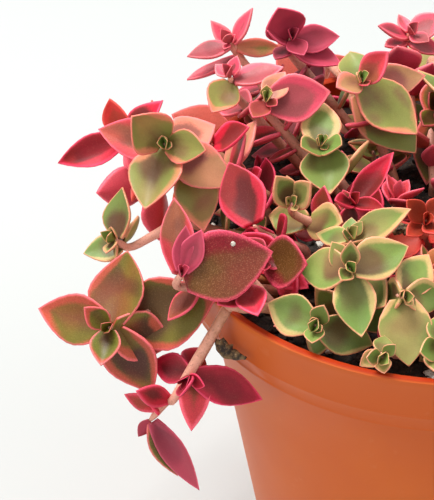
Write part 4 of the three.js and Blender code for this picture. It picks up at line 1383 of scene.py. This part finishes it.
@dataclass
class StemSkin:
    """The skin of one stem: a round tube that swells at its leaf pairs and thins towards its tip (mm)."""

    radius: float = 1.12
    tip_radius: float = 0.72
    taper: float = 16.0
    tip_share: float = 0.35
    tip_taper: float = 2.5
    swelling: float = 0.224
    swelling_reach: float = 0.9
    sides: int = 9
    per_step: int = 5
    old_after: float = 54.0

    def fine_line(self, line: List[np.ndarray]) -> List[np.ndarray]:
        """Returns the line with smooth points between its own points."""
        return smooth_line(line, lambda _: self.per_step)

    def radius_at(self, down: float, nodes: List[float]) -> float:
        """Works out how thick the stem is, with a swelling at each leaf pair.

        Args:
            down: The distance down from the tip.
            nodes: The distances of the leaf pairs down from the tip.

        Returns:
            The radius.
        """
        radius = self.tip_radius + (self.radius - self.tip_radius) * min(1.0, down / self.taper)
        radius *= min(1.0, self.tip_share + down / self.tip_taper)
        swell = (math.exp(-(((down - node) / self.swelling_reach) ** 2)) for node in nodes)
        return radius + self.swelling * sum(swell)

    def add_to(self, draft: MeshDraft, line: List[np.ndarray], nodes: List[float]) -> None:
        """Adds the stem to a piece, in its second material.

        Args:
            draft: The piece under construction.
            line: The stem's line.
            nodes: The distances of the leaf pairs down from the tip.
        """
        fine = self.fine_line(line)
        downs = [0.0]
        for k in range(len(fine) - 1, 0, -1):
            downs.append(downs[-1] + math.dist(fine[k], fine[k - 1]))
        downs.reverse()
        angles = np.arange(self.sides) / self.sides * 2 * math.pi
        rings, ages = [], []
        side = square_to(VIEW_RIGHT, line_direction(fine, 0))
        for k, (point, down) in enumerate(zip(fine, downs)):
            direction = line_direction(fine, k)
            side = square_to(side, direction)
            across = np.cross(direction, side)
            spokes = np.outer(np.cos(angles), side) + np.outer(np.sin(angles), across)
            rings.append(point + self.radius_at(down, nodes) * spokes)
            ages.append(np.full(self.sides, min(1.0, down / self.old_after)))
        points = np.concatenate([*rings, fine[:1], fine[-1:]])
        draft.add(points, self.faces(len(fine)), 1, age=np.concatenate([*ages, [1.0], [0.0]]))

    def faces(self, rings: int) -> List[Tuple[int, ...]]:
        """Lists the faces of a tube.

        Args:
            rings: The number of its rings. The middles of its two ends come after them.

        Returns:
            The faces by vertex number.
        """
        faces: List[Tuple[int, ...]] = []
        for r in range(rings - 1):
            for k in range(self.sides):
                a, b = r * self.sides + k, r * self.sides + (k + 1) % self.sides
                faces.append((a, b, b + self.sides, a + self.sides))
        start, last = rings * self.sides, (rings - 1) * self.sides
        for k in range(self.sides):
            faces.append((start, (k + 1) % self.sides, k))
            faces.append((last + k, last + (k + 1) % self.sides, start + 1))
        return faces


# Leaves


@dataclass(frozen=True)
class LeafShape:
    """Sizes that all leaves share (mm, and shares of length).

    The plain outline is that of the leaves in the part's source, and the full one that of the real leaf.
    """

    thickness: float = 1.3
    smallest: float = 4.0
    small_thickness: float = 0.9
    base: float = 0.13
    widest: float = 0.4
    full_base: float = 0.46
    full_widest: float = 0.42
    curl: float = -0.25
    sink: float = 0.5
    stem_radius: float = 1.2

    def full_outline(self, s: float) -> float:
        """Returns half the width of the real leaf along its length, as a share of the full one."""
        if s < self.full_widest:
            return self.full_base + (1 - self.full_base) * math.sin((s / self.full_widest) * (math.pi / 2))
        return max(0.0, 1 - ((s - self.full_widest) / (1 - self.full_widest)) ** 1.75)

    def outline(self, s: float) -> float:
        """Returns half the width of the solid's leaf along its length, as a share of the full one."""
        if s < self.widest:
            return self.base + (1 - self.base) * math.sin((s / self.widest) * (math.pi / 2))
        return max(0.0, math.cos(((s - self.widest) / (1 - self.widest)) * (math.pi / 2))) ** 0.8


@dataclass
class Pose:
    """Where a leaf starts, where it points and where its upper face looks."""

    base: np.ndarray
    along: np.ndarray
    face: np.ndarray

    def moved(self, tilt: float, swing: float) -> "Pose":
        """Turns the pose.

        Args:
            tilt: Degrees about its side.
            swing: Degrees about its face.

        Returns:
            The turned pose, with the same start.
        """
        side = np.cross(self.along, self.face)
        along = turned_about(self.along, side, math.radians(tilt))
        along = turned_about(along, self.face, math.radians(swing))
        return Pose(self.base, along, square_to(self.face, along))


class BladePattern:
    """The pattern blade, modelled flat once. Its half width, length and thickness are 1.

    Every leaf is a bent copy.
    """

    ACROSS = 8
    ALONG = 10

    def __init__(self, shape: LeafShape) -> None:
        """Models the blade from a grid, closes its tip and gives it its thickness.

        Args:
            shape: Gives its outline.
        """
        deselect_all()
        bpy.ops.mesh.primitive_grid_add(x_subdivisions=self.ACROSS, y_subdivisions=self.ALONG, size=2)
        blade = bpy.context.object
        for vertex in blade.data.vertices:
            s = self.row(0.5 + 0.5 * vertex.co.y)
            t = math.sin(vertex.co.x * math.pi / 2)
            vertex.co = (t * shape.full_outline(s), s, 0.0)
        begin_edit(blade)
        bpy.ops.mesh.remove_doubles(threshold=1e-5)
        end_edit()
        apply_modifier(blade, "SOLIDIFY", thickness=1.0, offset=0.0)
        vertices = blade.data.vertices
        self.s = np.array([v.co.y for v in vertices])
        self.h = np.array([np.sign(v.co.z) for v in vertices])
        self.half = np.array([shape.full_outline(min(1.0, max(0.0, s))) for s in self.s])
        self.t = np.clip(np.array([v.co.x for v in vertices]) / np.maximum(self.half, 1e-6), -1, 1)
        self.faces = [tuple(p.vertices) for p in blade.data.polygons]
        bpy.data.objects.remove(blade)

    @staticmethod
    def row(share: float) -> float:
        """Returns where a row of the grid lies along the leaf: rows are closer near the base and the tip."""
        return 0.5 - 0.5 * math.cos(math.pi * share) * (0.6 + 0.4 * abs(math.cos(math.pi * share)))


@dataclass
class Blade:
    """One leaf in its place: its pose, its sizes (mm) and its colours.

    The groove's depth and the belly are shares of the thickness, and the groove's width is a share of the
    half width. The belly is what lies under the middle surface.
    """

    pose: Pose
    length: float
    width: float
    thickness: float
    cup: float
    curl: float
    colours: LeafColours
    wave: float = 0.0
    phase: float = 0.0
    fold: float = 0.0
    lowest: bool = False
    groove_depth: float = 0.16
    groove_width: float = 0.16
    belly: float = 0.62

    def surface(self, s: np.ndarray, t: np.ndarray, half_share: np.ndarray) -> Tuple[np.ndarray, np.ndarray]:
        """Finds points of the blade's middle surface.

        Args:
            s: Places along the blade, from 0 at the base to 1 at the tip.
            t: Places across it, from -1 to 1.
            half_share: Half the width at each place, as a share of the full half width.

        Returns:
            The points, and the directions in which the blade is thick.
        """
        side = np.cross(self.pose.along, self.pose.face)
        bend = self.curl * s
        arm = self.length / self.curl
        lift = self.width / 2 * half_share / self.cup
        rise = lift * (1 - np.cos(self.cup * t))
        across = lift * np.sin(self.cup * t)
        drop = -arm * (1 - np.cos(bend))
        points = (self.pose.base + np.outer(arm * np.sin(bend) + rise * np.sin(bend), self.pose.along)
                  + np.outer(across, side) + np.outer(drop + rise * np.cos(bend), self.pose.face))
        thick = np.outer(np.sin(bend), self.pose.along) + np.outer(np.cos(bend), self.pose.face)
        return points, thick

    def marks(self, shape: LeafShape) -> np.ndarray:
        """Finds corners of this blade by which it is found again in the solid.

        Args:
            shape: Gives the outline of the solid's leaf.

        Returns:
            The corners, as the part's source makes them.
        """
        s = np.array([0.28, 0.28, 0.28, 0.7, 0.7, 0.7, 1.0])
        t = np.array([-1.0, 1.0, 0.0, -1.0, 1.0, 0.0, 0.0])
        points, _ = self.surface(s, t, np.array([shape.outline(v) for v in s]))
        for k in (2, 5):
            points[k] -= self.pose.face * self.thickness / 2
        return points

    def samples(self, rows: int = 7, columns: int = 5) -> np.ndarray:
        """Spreads points over the blade, to test how close others are.

        Args:
            rows: The number of rows, the first close to the base and the last at the tip.
            columns: The number of points in a row.

        Returns:
            The points, row by row from the base.
        """
        s = np.repeat(np.linspace(0.06, 1.0, rows), columns)
        t = np.tile(np.linspace(-0.95, 0.95, columns), rows)
        shape = LeafShape()
        return self.surface(s, t, np.array([shape.full_outline(v) for v in s]))[0]

    def add_to(self, draft: MeshDraft, pattern: BladePattern) -> None:
        """Adds a bent copy of the pattern blade to a piece, in its first material.

        Args:
            draft: The piece under construction.
            pattern: The pattern blade.
        """
        s, t = pattern.s, pattern.t
        half_width = pattern.half * self.width / 2
        ripple = self.wave * np.sin(s * 7.0 + self.phase) * t * np.abs(t)
        crease = self.fold * half_width * (np.sqrt(t * t + 0.006) - 0.45) * np.minimum(1, s * 5)
        points, thick = self.surface(s, t, pattern.half)
        points = points + thick * (self.flesh(pattern) + ripple + crease)[:, None]
        rim = np.minimum((1 - np.abs(t)) * half_width, (1 - s) * self.length * 0.8)
        c = self.colours
        # Share of the heart colour: the leaf's own heart and painted shade, strongest at the base and along
        # the midrib
        heart = np.clip(1 - np.abs(t) ** 1.8, 0, 1)
        heart = heart * np.interp(s / c.reach, [0, 0.35, 0.7, 0.95], [1.0, 1.0, 0.7, 0.1])
        margin = c.margin * min(1.0, 0.3 + self.length / 16)
        draft.add(points, pattern.faces, 0, rim=rim / margin, heart_share=heart, side=(1 - pattern.h) / 2,
                  dots=c.dots, heart=c.heart, flesh=c.flesh, blush=c.blush, edge=c.edge, under=c.under)

    def flesh(self, pattern: BladePattern) -> np.ndarray:
        """Works out how thick the blade is: full in the middle, thin at the edge, and grooved above.

        Args:
            pattern: The pattern blade.

        Returns:
            How far each of its points lies from the middle surface (mm).
        """
        s, t = pattern.s, pattern.t
        rounding = np.sqrt(np.maximum(0.0, 1 - np.abs(t) ** 3.2)) * 0.62 + 0.38
        taper = np.interp(s, [0, 0.2, 0.6, 0.9, 1.0], [0.9, 1.0, 0.9, 0.55, 0.3])
        body = min(self.thickness, self.length * 0.1 + 0.25) * rounding * taper
        groove = self.groove_depth * self.thickness * np.exp(-((t / self.groove_width) ** 2))
        groove = groove * np.interp(s, [0, 0.5, 0.85], [1, 0.7, 0])
        return np.where(pattern.h > 0, body * (1 - self.belly) - groove, -body * self.belly)


# The plant


@dataclass
class Plant:
    """All leafy shoots of the plant, and the small leaves and young sprouts between them (mm)."""

    pot: NurseryPot
    soil: SoilShape
    leaf: LeafShape = field(default_factory=LeafShape)
    seed: int = 1207
    root_share: float = 0.62
    furthest_root: float = 44.0
    wander: float = 2.5
    over_rim: float = 5.5
    past_rim: float = 4.5
    lower_step: float = 9.0
    lower_length: float = 12.5
    lower_open: float = 82.0
    lower_clearance: float = 7.0
    same_place: float = 0.03
    fewest_marks: int = 3
    bud_length: float = 3.8
    bud_in: float = 0.35
    rows: int = 15
    columns: int = 9
    base_rows: int = 5
    near: float = 2.4
    touching: float = 1.2
    cutting: float = 0.6
    shortening: float = 0.72
    bud_room: float = 1.0
    room: float = 1.5
    above_soil: float = 0.8
    pot_reach: float = 54.0
    over_pot: float = 102.0
    sprout_tries: int = 500
    sprout_gap: float = 6.5
    sprout_reach: float = 49.0
    sprout_heights: Tuple[float, float] = (6.0, 15.0)
    sprout_lean: float = 0.35
    sprout_room: float = 2.2
    fewest_sprout_leaves: int = 4
    inner_step: float = 6.5
    inner_lengths: Tuple[float, float] = (6.5, 10.5)
    inner_end: float = 8.0
    inner_above_soil: float = 2.5
    inner_over_pot: float = 105.0
    own_tone_share: float = 0.35
    found: int = 0
    left_out: int = 0
    inner: int = 0
    taken: List[np.ndarray] = field(default_factory=list)
    full: List[Tuple[Blade, MeshDraft]] = field(default_factory=list)
    buds: List[Tuple[Blade, MeshDraft]] = field(default_factory=list)

    def hidden_shoots(self) -> List[Shoot]:
        """Returns the shoots of the hidden side, ring by ring, in the order of the source's draws."""
        draw = Draw(self.seed)
        shoots = []
        for ring in HIDDEN_RINGS:
            for k in range(ring.count):
                angle = math.radians(ring.start + ((ring.end - ring.start) * k) / (ring.count - 1))
                out_x, out_y = math.cos(angle), math.sin(angle)
                reach = ring.radius + draw.between(-self.wander, self.wander)
                tip = (out_x * reach, out_y * reach, ring.height + draw.between(-self.wander, self.wander))
                root_reach = min(ring.radius * self.root_share, self.furthest_root) + draw.between(-2, 2)
                past = self.pot.rim_radius + self.past_rim
                over = (out_x * past, out_y * past, self.pot.height + self.over_rim)
                right = math.degrees(math.atan2(out_x, -out_y)) + draw.between(-15, 15)
                turn = draw.between(0, 180)
                blush = draw.between(0.1, 1)
                pairs = self.rosette(ring, turn, draw)
                facing = (right, ring.rise + draw.between(-8, 8))
                via = [over] if ring.radius > self.pot.rim_radius else []
                shoots.append(Shoot(f"{ring.name}_{k + 1}", (out_x * root_reach, out_y * root_reach), tip,
                                    facing, tone_for(blush), pairs, via))
        return shoots

    @staticmethod
    def rosette(ring: Ring, turn: float, draw: Draw) -> List[Tuple[float, List[Leaf]]]:
        """Sets the leaves of a hidden shoot.

        Args:
            ring: The ring that the shoot is part of.
            turn: The turn of its first leaf round the stem (degrees).
            draw: The draws of the hidden side.

        Returns:
            The leaves in pairs, each after a step down the stem.
        """
        pairs = []
        for p, (step, share, opening) in enumerate(ROSETTE):
            across = turn + p * 90 + draw.between(-8, 8)
            spread = draw.between(-6, 6)
            first = set_leaf(across, opening + spread, ring.leaf * share)
            second = set_leaf(across + 180, opening - spread, ring.leaf * share * draw.between(0.85, 1))
            pairs.append((step, [first, second]))
        return pairs

    def lower_pairs(self, shoot: Shoot, used: float) -> List[Tuple[float, List[Leaf]]]:
        """Sets the pair of leaves lower down a stem by rule.

        Args:
            shoot: The shoot.
            used: The distance of its lowest other pair from its tip.

        Returns:
            The pair and its step down the stem, or nothing where the stem is too close to the soil.
        """
        draw = Draw(shoot.order * 977 + 13)
        step = self.lower_step + draw.between(-1, 1)
        turn = draw.between(0, 180)
        length = self.lower_length + draw.between(-1.5, 1.5)
        opening = self.lower_open + draw.between(-10, 8)
        if station_at(shoot.line, used + step)[0][2] > self.soil.top + self.lower_clearance:
            return [(step, [set_leaf(turn, opening, length), set_leaf(turn + 180, opening, length * 0.9)])]
        return []

    def leaf_pose(self, leaf: Leaf, point: np.ndarray, direction: np.ndarray) -> Pose:
        """Aims a leaf.

        Args:
            leaf: The leaf as it is written down.
            point: Its place on its stem.
            direction: The stem's direction there.

        Returns:
            Where it starts, points and faces.
        """
        first, second = math.radians(leaf.first), math.radians(leaf.second)
        if leaf.is_seen:
            on_clock = VIEW_UP * math.cos(first) + VIEW_RIGHT * math.sin(first)
            along = on_clock * math.cos(second) + VIEW_AWAY * math.sin(second)
        else:
            steep = abs(direction[2]) > 0.9
            up = square_to(np.array([0.0, 1.0, 0.0] if steep else [0.0, 0.0, 1.0]), direction)
            out = up * math.cos(first) + np.cross(up, direction) * math.sin(first)
            along = direction * math.cos(second) + out * math.sin(second)
        face = square_to(-VIEW_AWAY if leaf.front else direction, along)
        base = point + square_to(along, direction) * self.leaf.stem_radius * self.leaf.sink
        return Pose(base, along, face)

    def blade(self, leaf: Leaf, pose: Pose, colours: LeafColours) -> Blade:
        """Returns a leaf's blade in a pose."""
        width = leaf.length * leaf.wide
        return Blade(pose, leaf.length, width, self.leaf.thickness, leaf.cup, self.leaf.curl, colours)

    def placed_blade(self, plain: Blade, corners: KDTree) -> Optional[Blade]:
        """Finds the blade as it stands in the CAD node.

        Args:
            plain: The blade as it is written down.
            corners: The corners of the CAD node.

        Returns:
            The blade after the move that the source made, or None where the source left the leaf out.
        """
        if plain.length < self.leaf.smallest:
            return replace(plain, thickness=self.leaf.small_thickness)
        best, most = None, self.fewest_marks - 1
        for tilt, swing, share in MOVES:
            moved = replace(plain, pose=plain.pose.moved(tilt, swing), length=plain.length * share,
                            width=plain.width * share)
            marks = moved.marks(self.leaf)
            hits = sum(corners.find(Vector(p * MM))[2] < self.same_place * MM for p in marks)
            if hits > most:
                best, most = moved, hits
        return best

    def add_leaves(self, draft: MeshDraft, shoot: Shoot, corners: KDTree) -> None:
        """Adds a stem to a piece and lists its leaves.

        Args:
            draft: The piece under construction.
            shoot: The shoot.
            corners: The corners of the shoot's CAD node.
        """
        draw = Draw(shoot.order * 131 + 7)
        used = sum(step for step, _ in shoot.pairs)
        down = 0.0
        nodes = []
        for step, leaves in [*shoot.pairs, *self.lower_pairs(shoot, used)]:
            down += step
            nodes.append(down)
            point, direction = station_at(shoot.line, down)
            for leaf in leaves:
                colours = (leaf.tone or shoot.tone).value.varied(draw)
                pose = self.leaf_pose(leaf, point, direction)
                blade = self.placed_blade(self.blade(leaf, pose, colours), corners)
                if blade is None:
                    self.left_out += 1
                    LOG.info("left out: a leaf of %s, %.1f mm long", shoot.name, leaf.length)
                    continue
                self.found += 1
                blade.width *= leaf.slim
                blade.lowest = shoot.pairs[0][1][0].is_seen and not leaf.is_seen
                blade.wave = draw.between(0.1, 0.3) * blade.length / 14
                blade.phase = draw.between(0, 6)
                blade.fold = draw.between(0.12, 0.3)
                self.full.append((blade, draft))
                self.taken.append(blade.samples(self.rows, self.columns))
        self.add_bud(draft, shoot, draw)
        StemSkin().add_to(draft, shoot.line, nodes[2:])
        shoot.used = down

    def add_bud(self, draft: MeshDraft, shoot: Shoot, draw: Draw) -> None:
        """Lists the two small folded leaves that close a shoot's tip.

        Args:
            draft: The piece that they are part of.
            shoot: The shoot.
            draw: The draws of the shoot.
        """
        point, direction = station_at(shoot.line, 0.2)
        tone = shoot.pairs[0][1][0].tone or shoot.tone
        turn = draw.between(50, 130)
        for half_turn in (0, 180):
            length = self.bud_length * draw.between(0.9, 1.1)
            leaf = set_leaf(turn + half_turn, 13, length, wide=0.75, cup=0.6)
            colours = tone.value.varied(draw)
            green = replace(colours, heart=colours.flesh, under=colours.flesh, margin=0.25)
            pose = self.leaf_pose(leaf, point, direction)
            pose = replace(pose, base=point + (pose.base - point) * self.bud_in)
            self.buds.append((replace(self.blade(leaf, pose, green), thickness=0.4, curl=0.05), draft))

    def part_close_blades(self) -> None:
        """Keeps blades apart.

        Those close to another one lose their fold and wave, a lower leaf that would cut another one is
        shortened, and a bud that would cut a leaf of another shoot is left out.
        """
        outer = [samples[self.base_rows * self.columns:] for samples in self.taken]
        owners = [k for k, samples in enumerate(outer) for _ in samples]
        tree = tree_of(np.concatenate(outer))
        for k, (blade, _) in enumerate(self.full):
            gaps = [gap for p in outer[k] for _, spot, gap in tree.find_range(p, self.near)
                    if owners[spot] != k]
            nearest = min(gaps, default=self.near)
            keep = min(1.0, max(0.0, (nearest - self.touching) / (self.near - self.touching)))
            blade.fold *= keep
            blade.wave *= keep
            if blade.lowest and nearest < self.cutting:
                blade.length *= self.shortening
                blade.width *= self.shortening
        self.buds = [(bud, draft) for bud, draft in self.buds
                     if not any(self.full[owners[spot]][1] is not draft
                                for p in bud.samples() for _, spot, _ in tree.find_range(p, self.bud_room))]

    def room_around(self, stem_points: np.ndarray) -> KDTree:
        """Returns a tree of all points where leaves and the given stems already are."""
        return tree_of(np.concatenate([*self.taken, stem_points]))

    def is_free(self, samples: np.ndarray, room: KDTree) -> bool:
        """Tells whether a blade stays clear of the leaves, the stems, the compost and the pot's wall.

        Args:
            samples: Points of the blade, in rows of five from its base. The first row may touch its stem.
            room: The points that are taken.

        Returns:
            Whether it does.
        """
        clear = all(room.find(p)[2] > self.room for p in samples[5:])
        above = all(p[2] > self.soil.height(p[0], p[1]) + self.above_soil for p in samples)
        within = all(math.hypot(p[0], p[1]) < self.pot_reach + 1 or p[2] > self.over_pot for p in samples)
        return clear and above and within

    def sprout_leaves(self, line: List[np.ndarray], room: KDTree, draw: Draw) -> List[Blade]:
        """Sets the leaves of a young sprout.

        Args:
            line: The line of its stem.
            room: The points that are taken.
            draw: The draws of the sprouts.

        Returns:
            The leaves that have room, from its tip down.
        """
        tone = draw.one_of(SPROUT_TONES)
        turn = draw.between(0, 180)
        blades = []
        for down, length, opening in SPROUT_PAIRS:
            point, direction = station_at(line, down)
            turn += 90
            for half_turn in (0, 180):
                leaf = set_leaf(turn + half_turn, opening, length * draw.between(0.85, 1.15), cup=0.5)
                blade = self.blade(leaf, self.leaf_pose(leaf, point, direction), tone.value.varied(draw))
                if self.is_free(blade.samples(), room):
                    blades.append(blade)
        return blades

    def add_sprouts(self, draft: MeshDraft, stem_points: np.ndarray, pattern: BladePattern) -> None:
        """Adds the short young sprouts that root in the compost wherever there is room between the shoots.

        Args:
            draft: The piece under construction.
            stem_points: Points on the stems of all the shoots.
            pattern: The pattern blade.
        """
        draw = Draw(9041)
        lean = self.sprout_lean
        roots: List[np.ndarray] = []
        room = self.room_around(stem_points)
        for _ in range(self.sprout_tries):
            reach, turn = self.sprout_reach * math.sqrt(draw.between(0, 1)), draw.between(0, 2 * math.pi)
            x, y = reach * math.cos(turn), reach * math.sin(turn)
            root = np.array([x, y, self.soil.height(x, y) - 1.0])
            height = draw.between(*self.sprout_heights)
            towards = np.array([draw.between(-lean, lean), draw.between(-lean, lean), 1.0])
            line = [root, root + np.array([0, 0, height * 0.5]), root + towards * height]
            if any(math.dist(root, other) < self.sprout_gap for other in roots):
                continue
            stations = [station_at(line, down)[0] for down in np.linspace(0, height * 0.9, 6)]
            if any(room.find(station)[2] < self.sprout_room for station in stations):
                continue
            blades = self.sprout_leaves(line, room, draw)
            if len(blades) < self.fewest_sprout_leaves:
                continue
            roots.append(root)
            for blade in blades:
                blade.add_to(draft, pattern)
                self.taken.append(blade.samples())
            StemSkin(radius=0.75, tip_radius=0.5).add_to(draft, line, [])
            room = self.room_around(stem_points)
        LOG.info("young sprouts: %d", len(roots))

    def add_inner_leaves(self, draft: MeshDraft, shoot: Shoot, stem_points: np.ndarray,
                         pattern: BladePattern) -> None:
        """Adds the small older leaves down a stem, inside the plant, wherever there is room for them.

        Args:
            draft: The piece under construction.
            shoot: The shoot whose stem carries them.
            stem_points: Points on the stems of all the other shoots.
            pattern: The pattern blade.
        """
        draw = Draw(shoot.order * 389 + 71)
        room = self.room_around(stem_points)
        down = shoot.used + self.inner_step * 0.8
        turn = draw.between(0, 180)
        stem_length = sum(math.dist(a, b) for a, b in zip(shoot.line, shoot.line[1:]))
        while down < stem_length - self.inner_end:
            point, direction = station_at(shoot.line, down)
            x, y, z = point
            down += self.inner_step + draw.between(-1, 1.5)
            turn += 90 + draw.between(-15, 15)
            outside = math.hypot(x, y) > self.pot_reach and (z < self.inner_over_pot or shoot.branch)
            if outside or z < self.soil.height(x, y) + self.inner_above_soil:
                continue
            for half_turn in (0, 180):
                is_own = draw.between(0, 1) < self.own_tone_share
                tone = shoot.tone if is_own else draw.one_of(INNER_TONES)
                colours = tone.value.varied(draw)
                full = draw.between(*self.inner_lengths)
                for swing, opening, share in INNER_TRIES:
                    leaf = set_leaf(turn + half_turn + swing, opening, full * share, wide=0.82, cup=0.5)
                    blade = self.blade(leaf, self.leaf_pose(leaf, point, direction), colours)
                    if self.is_free(blade.samples(), room):
                        blade.add_to(draft, pattern)
                        self.taken.append(blade.samples())
                        self.inner += 1
                        break

    def build(self, frame: Dict[str, Any]) -> None:
        """Makes one piece for each shoot, over its CAD node, and one for the young sprouts.
        """
        shoots = front_shoots() + self.hidden_shoots()
        garden = StemGarden(self.pot, self.soil)
        for k, shoot in enumerate(shoots):
            shoot.order = k
            shoot.line = garden.stem_line(shoot)
        garden.spread(shoots)
        pattern = BladePattern(self.leaf)
        materials = [LeafFinish().material(), StemFinish().material()]
        drafts = []
        for shoot in shoots:
            corners = tree_of([v.co for v in frame["nodes"][f"shoot_{shoot.name}"].data.vertices])
            draft = MeshDraft()
            self.add_leaves(draft, shoot, corners)
            if shoot.branch:
                shoot.branch.order = shoot.order + 500
                shoot.branch.line = garden.stem_line(shoot.branch, shoot.line)
                self.add_leaves(draft, shoot.branch, corners)
            drafts.append(draft)
        self.part_close_blades()
        for blade, draft in self.buds + self.full:
            blade.add_to(draft, pattern)
        stems = [StemSkin().fine_line(shoot.line) for shoot in shoots]
        for k, (shoot, draft) in enumerate(zip(shoots, drafts)):
            self.add_inner_leaves(draft, shoot, np.concatenate(stems[:k] + stems[k + 1:]), pattern)
            node = f"shoot_{shoot.name}"
            piece = dress(draft.build(node), f"leafy_{node}", materials)
            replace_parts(piece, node)
        sprouts = MeshDraft()
        self.add_sprouts(sprouts, np.concatenate(stems), pattern)
        dress(sprouts.build("young_sprouts"), "young_sprouts", materials)
        LOG.info("leaves: %d placed, %d left out, %d inner ones", self.found, self.left_out, self.inner)


# Withered leaves


@dataclass
class DryLeaf:
    """A withered leaf: a crumpled strip folded along a bent line (mm)."""

    name: str
    path: Sequence[Point]
    halves: Sequence[float]
    seed: float
    fold: float = 1.25
    crumple: float = 0.55
    thickness: float = 0.3
    columns: int = 12
    rows: int = 26

    def build(self, finish: bpy.types.Material) -> bpy.types.Object:
        """Models the leaf from a grid.

        Args:
            finish: The material of withered skin.

        Returns:
            The finished leaf.
        """
        deselect_all()
        bpy.ops.mesh.primitive_grid_add(x_subdivisions=self.columns, y_subdivisions=self.rows, size=2)
        leaf = bpy.context.object
        for vertex in leaf.data.vertices:
            vertex.co = self.spot(vertex.co.x, (vertex.co.y + 1) / 2) * MM
        apply_modifier(leaf, "SOLIDIFY", thickness=self.thickness * MM, offset=0.0)
        apply_modifier(leaf, "SUBSURF", levels=1, render_levels=1)
        shade_smooth(leaf.data)
        return dress(leaf, self.name, [finish])

    def along(self, share: float) -> np.ndarray:
        """Returns the point of the middle line at a share of its length."""
        shares = np.linspace(0, 1, len(self.path))
        return np.array([np.interp(share, shares, axis) for axis in np.transpose(self.path)])

    def spot(self, across: float, share: float) -> np.ndarray:
        """Finds a point of the sheet.

        Args:
            across: The place between the two edges, from -1 to 1.
            share: The place along the middle line, from 0 to 1.

        Returns:
            The point (mm).
        """
        centre = (self.along(share - 0.1) + self.along(share + 0.1)) / 2
        tangent = unit(self.along(min(share + 0.15, 1)) - self.along(max(share - 0.15, 0)))
        side = unit(np.cross(tangent, -VIEW_AWAY))
        face = np.cross(side, tangent)
        half = np.interp(share, np.linspace(0, 1, len(self.halves)), self.halves)
        half *= 1 + 0.4 * noise.noise(Vector((share * 7, math.copysign(4, across), self.seed)))
        turn = across * self.fold
        crease = noise.noise(Vector((across * 1.8, share * 6, self.seed))) * self.crumple
        slip = noise.noise(Vector((across * 1.5, share * 5, self.seed + 9))) * self.crumple
        return (centre + side * (math.sin(turn) / self.fold * half * 1.3 + slip * 0.6)
                + face * (crease - (1 - math.cos(turn)) * half))


FALLEN = DryLeaf("dry_leaf", [(-49.2, -39.4, 95.6), (-48.9, -39.8, 93.9), (-48.0, -40.6, 92.9),
                              (-46.3, -41.7, 92.9), (-43.2, -43.6, 93.4)], [0.8, 1.3, 1.5, 0.9, 0.1], 3.0)
CAUGHT = DryLeaf("dry_scrap", [(-13.0, -17.4, 106.2), (-10.4, -17.4, 107.6), (-7.2, -17.6, 106.6)],
                 [0.5, 1.3, 0.9], 8.0, crumple=0.8)


@dataclass
class Speck:
    """A small white grain that lies on a leaf (mm)."""

    place: Point = (-46.55, -34.95, 116.26)
    size: Point = (0.5, 0.22, 0.62)

    def build(self) -> None:
        """Adds the grain, flat against its leaf."""
        deselect_all()
        bpy.ops.mesh.primitive_uv_sphere_add(segments=12, ring_count=8, radius=MM)
        grain = bpy.context.object
        begin_edit(grain)
        bpy.ops.transform.resize(value=self.size)
        bpy.ops.transform.translate(value=Vector(self.place) * MM)
        end_edit()
        dress(grain, "white_speck", [MineralFinish().material()])


# Studio


@dataclass(frozen=True)
class Lamp:
    """A soft square lamp (m and W) that points at the plant."""

    name: str
    place: Point
    size: float
    power: float
    target: Point = (0.0, 0.0, 0.1)

    def build(self) -> None:
        """Adds the lamp."""
        turn = (Vector(self.target) - Vector(self.place)).to_track_quat("-Z", "Y").to_euler()
        bpy.ops.object.light_add(type="AREA", location=self.place, rotation=turn)
        lamp = bpy.context.object
        lamp.name = self.name
        lamp.data.size = self.size
        lamp.data.energy = self.power


@dataclass
class Studio:
    """Pale floor, soft light and the photograph's camera (m)."""

    camera_place: Point = (-0.0498, -0.4096, 0.3869)
    camera_tilt: float = 54.0
    lens: float = 164.7
    sensor_width: float = 36.0
    floor_size: float = 6.0
    air: float = 0.56
    lamps: Tuple[Lamp, ...] = (
        Lamp("key", (-0.3, 0.2, 1.0), 0.45, 14.5),
        Lamp("fill", (-0.6, -0.7, 0.5), 0.7, 3.0),
        Lamp("side", (0.8, -0.3, 0.7), 0.8, 3.6),
    )

    def build(self) -> None:
        """Adds the camera, the floor and the lights."""
        scene = bpy.context.scene
        tilt = (math.radians(self.camera_tilt), 0, 0)
        bpy.ops.object.camera_add(location=self.camera_place, rotation=tilt)
        camera = bpy.context.object
        camera.data.lens = self.lens
        camera.data.sensor_width = self.sensor_width
        scene.camera = camera
        deselect_all()
        bpy.ops.mesh.primitive_plane_add(size=self.floor_size)
        floor = bpy.context.object
        floor.name = "studio_floor"
        floor.data.materials.append(FloorFinish().material())
        for lamp in self.lamps:
            lamp.build()
        scene.world = bpy.data.worlds.new("studio_air")
        scene.world.use_nodes = True
        background = scene.world.node_tree.nodes["Background"]
        background.inputs["Color"].default_value = (1.0, 1.0, 1.0, 1.0)
        background.inputs["Strength"].default_value = self.air
        scene.view_settings.view_transform = "Standard"


def main() -> None:
    """Builds the potted plant around its frame."""
    logging.basicConfig(level=logging.INFO, format="%(message)s")
    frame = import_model()
    Studio().build()
    pot, soil = NurseryPot(), SoilShape()
    pot.build()
    Compost(pot, soil).build()
    Plant(pot, soil).build(frame)
    withered = DryLeafFinish().material()
    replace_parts(FALLEN.build(withered), "withered_leaf")
    CAUGHT.build(withered)
    Speck().build()


if __name__ == "__main__":
    main()
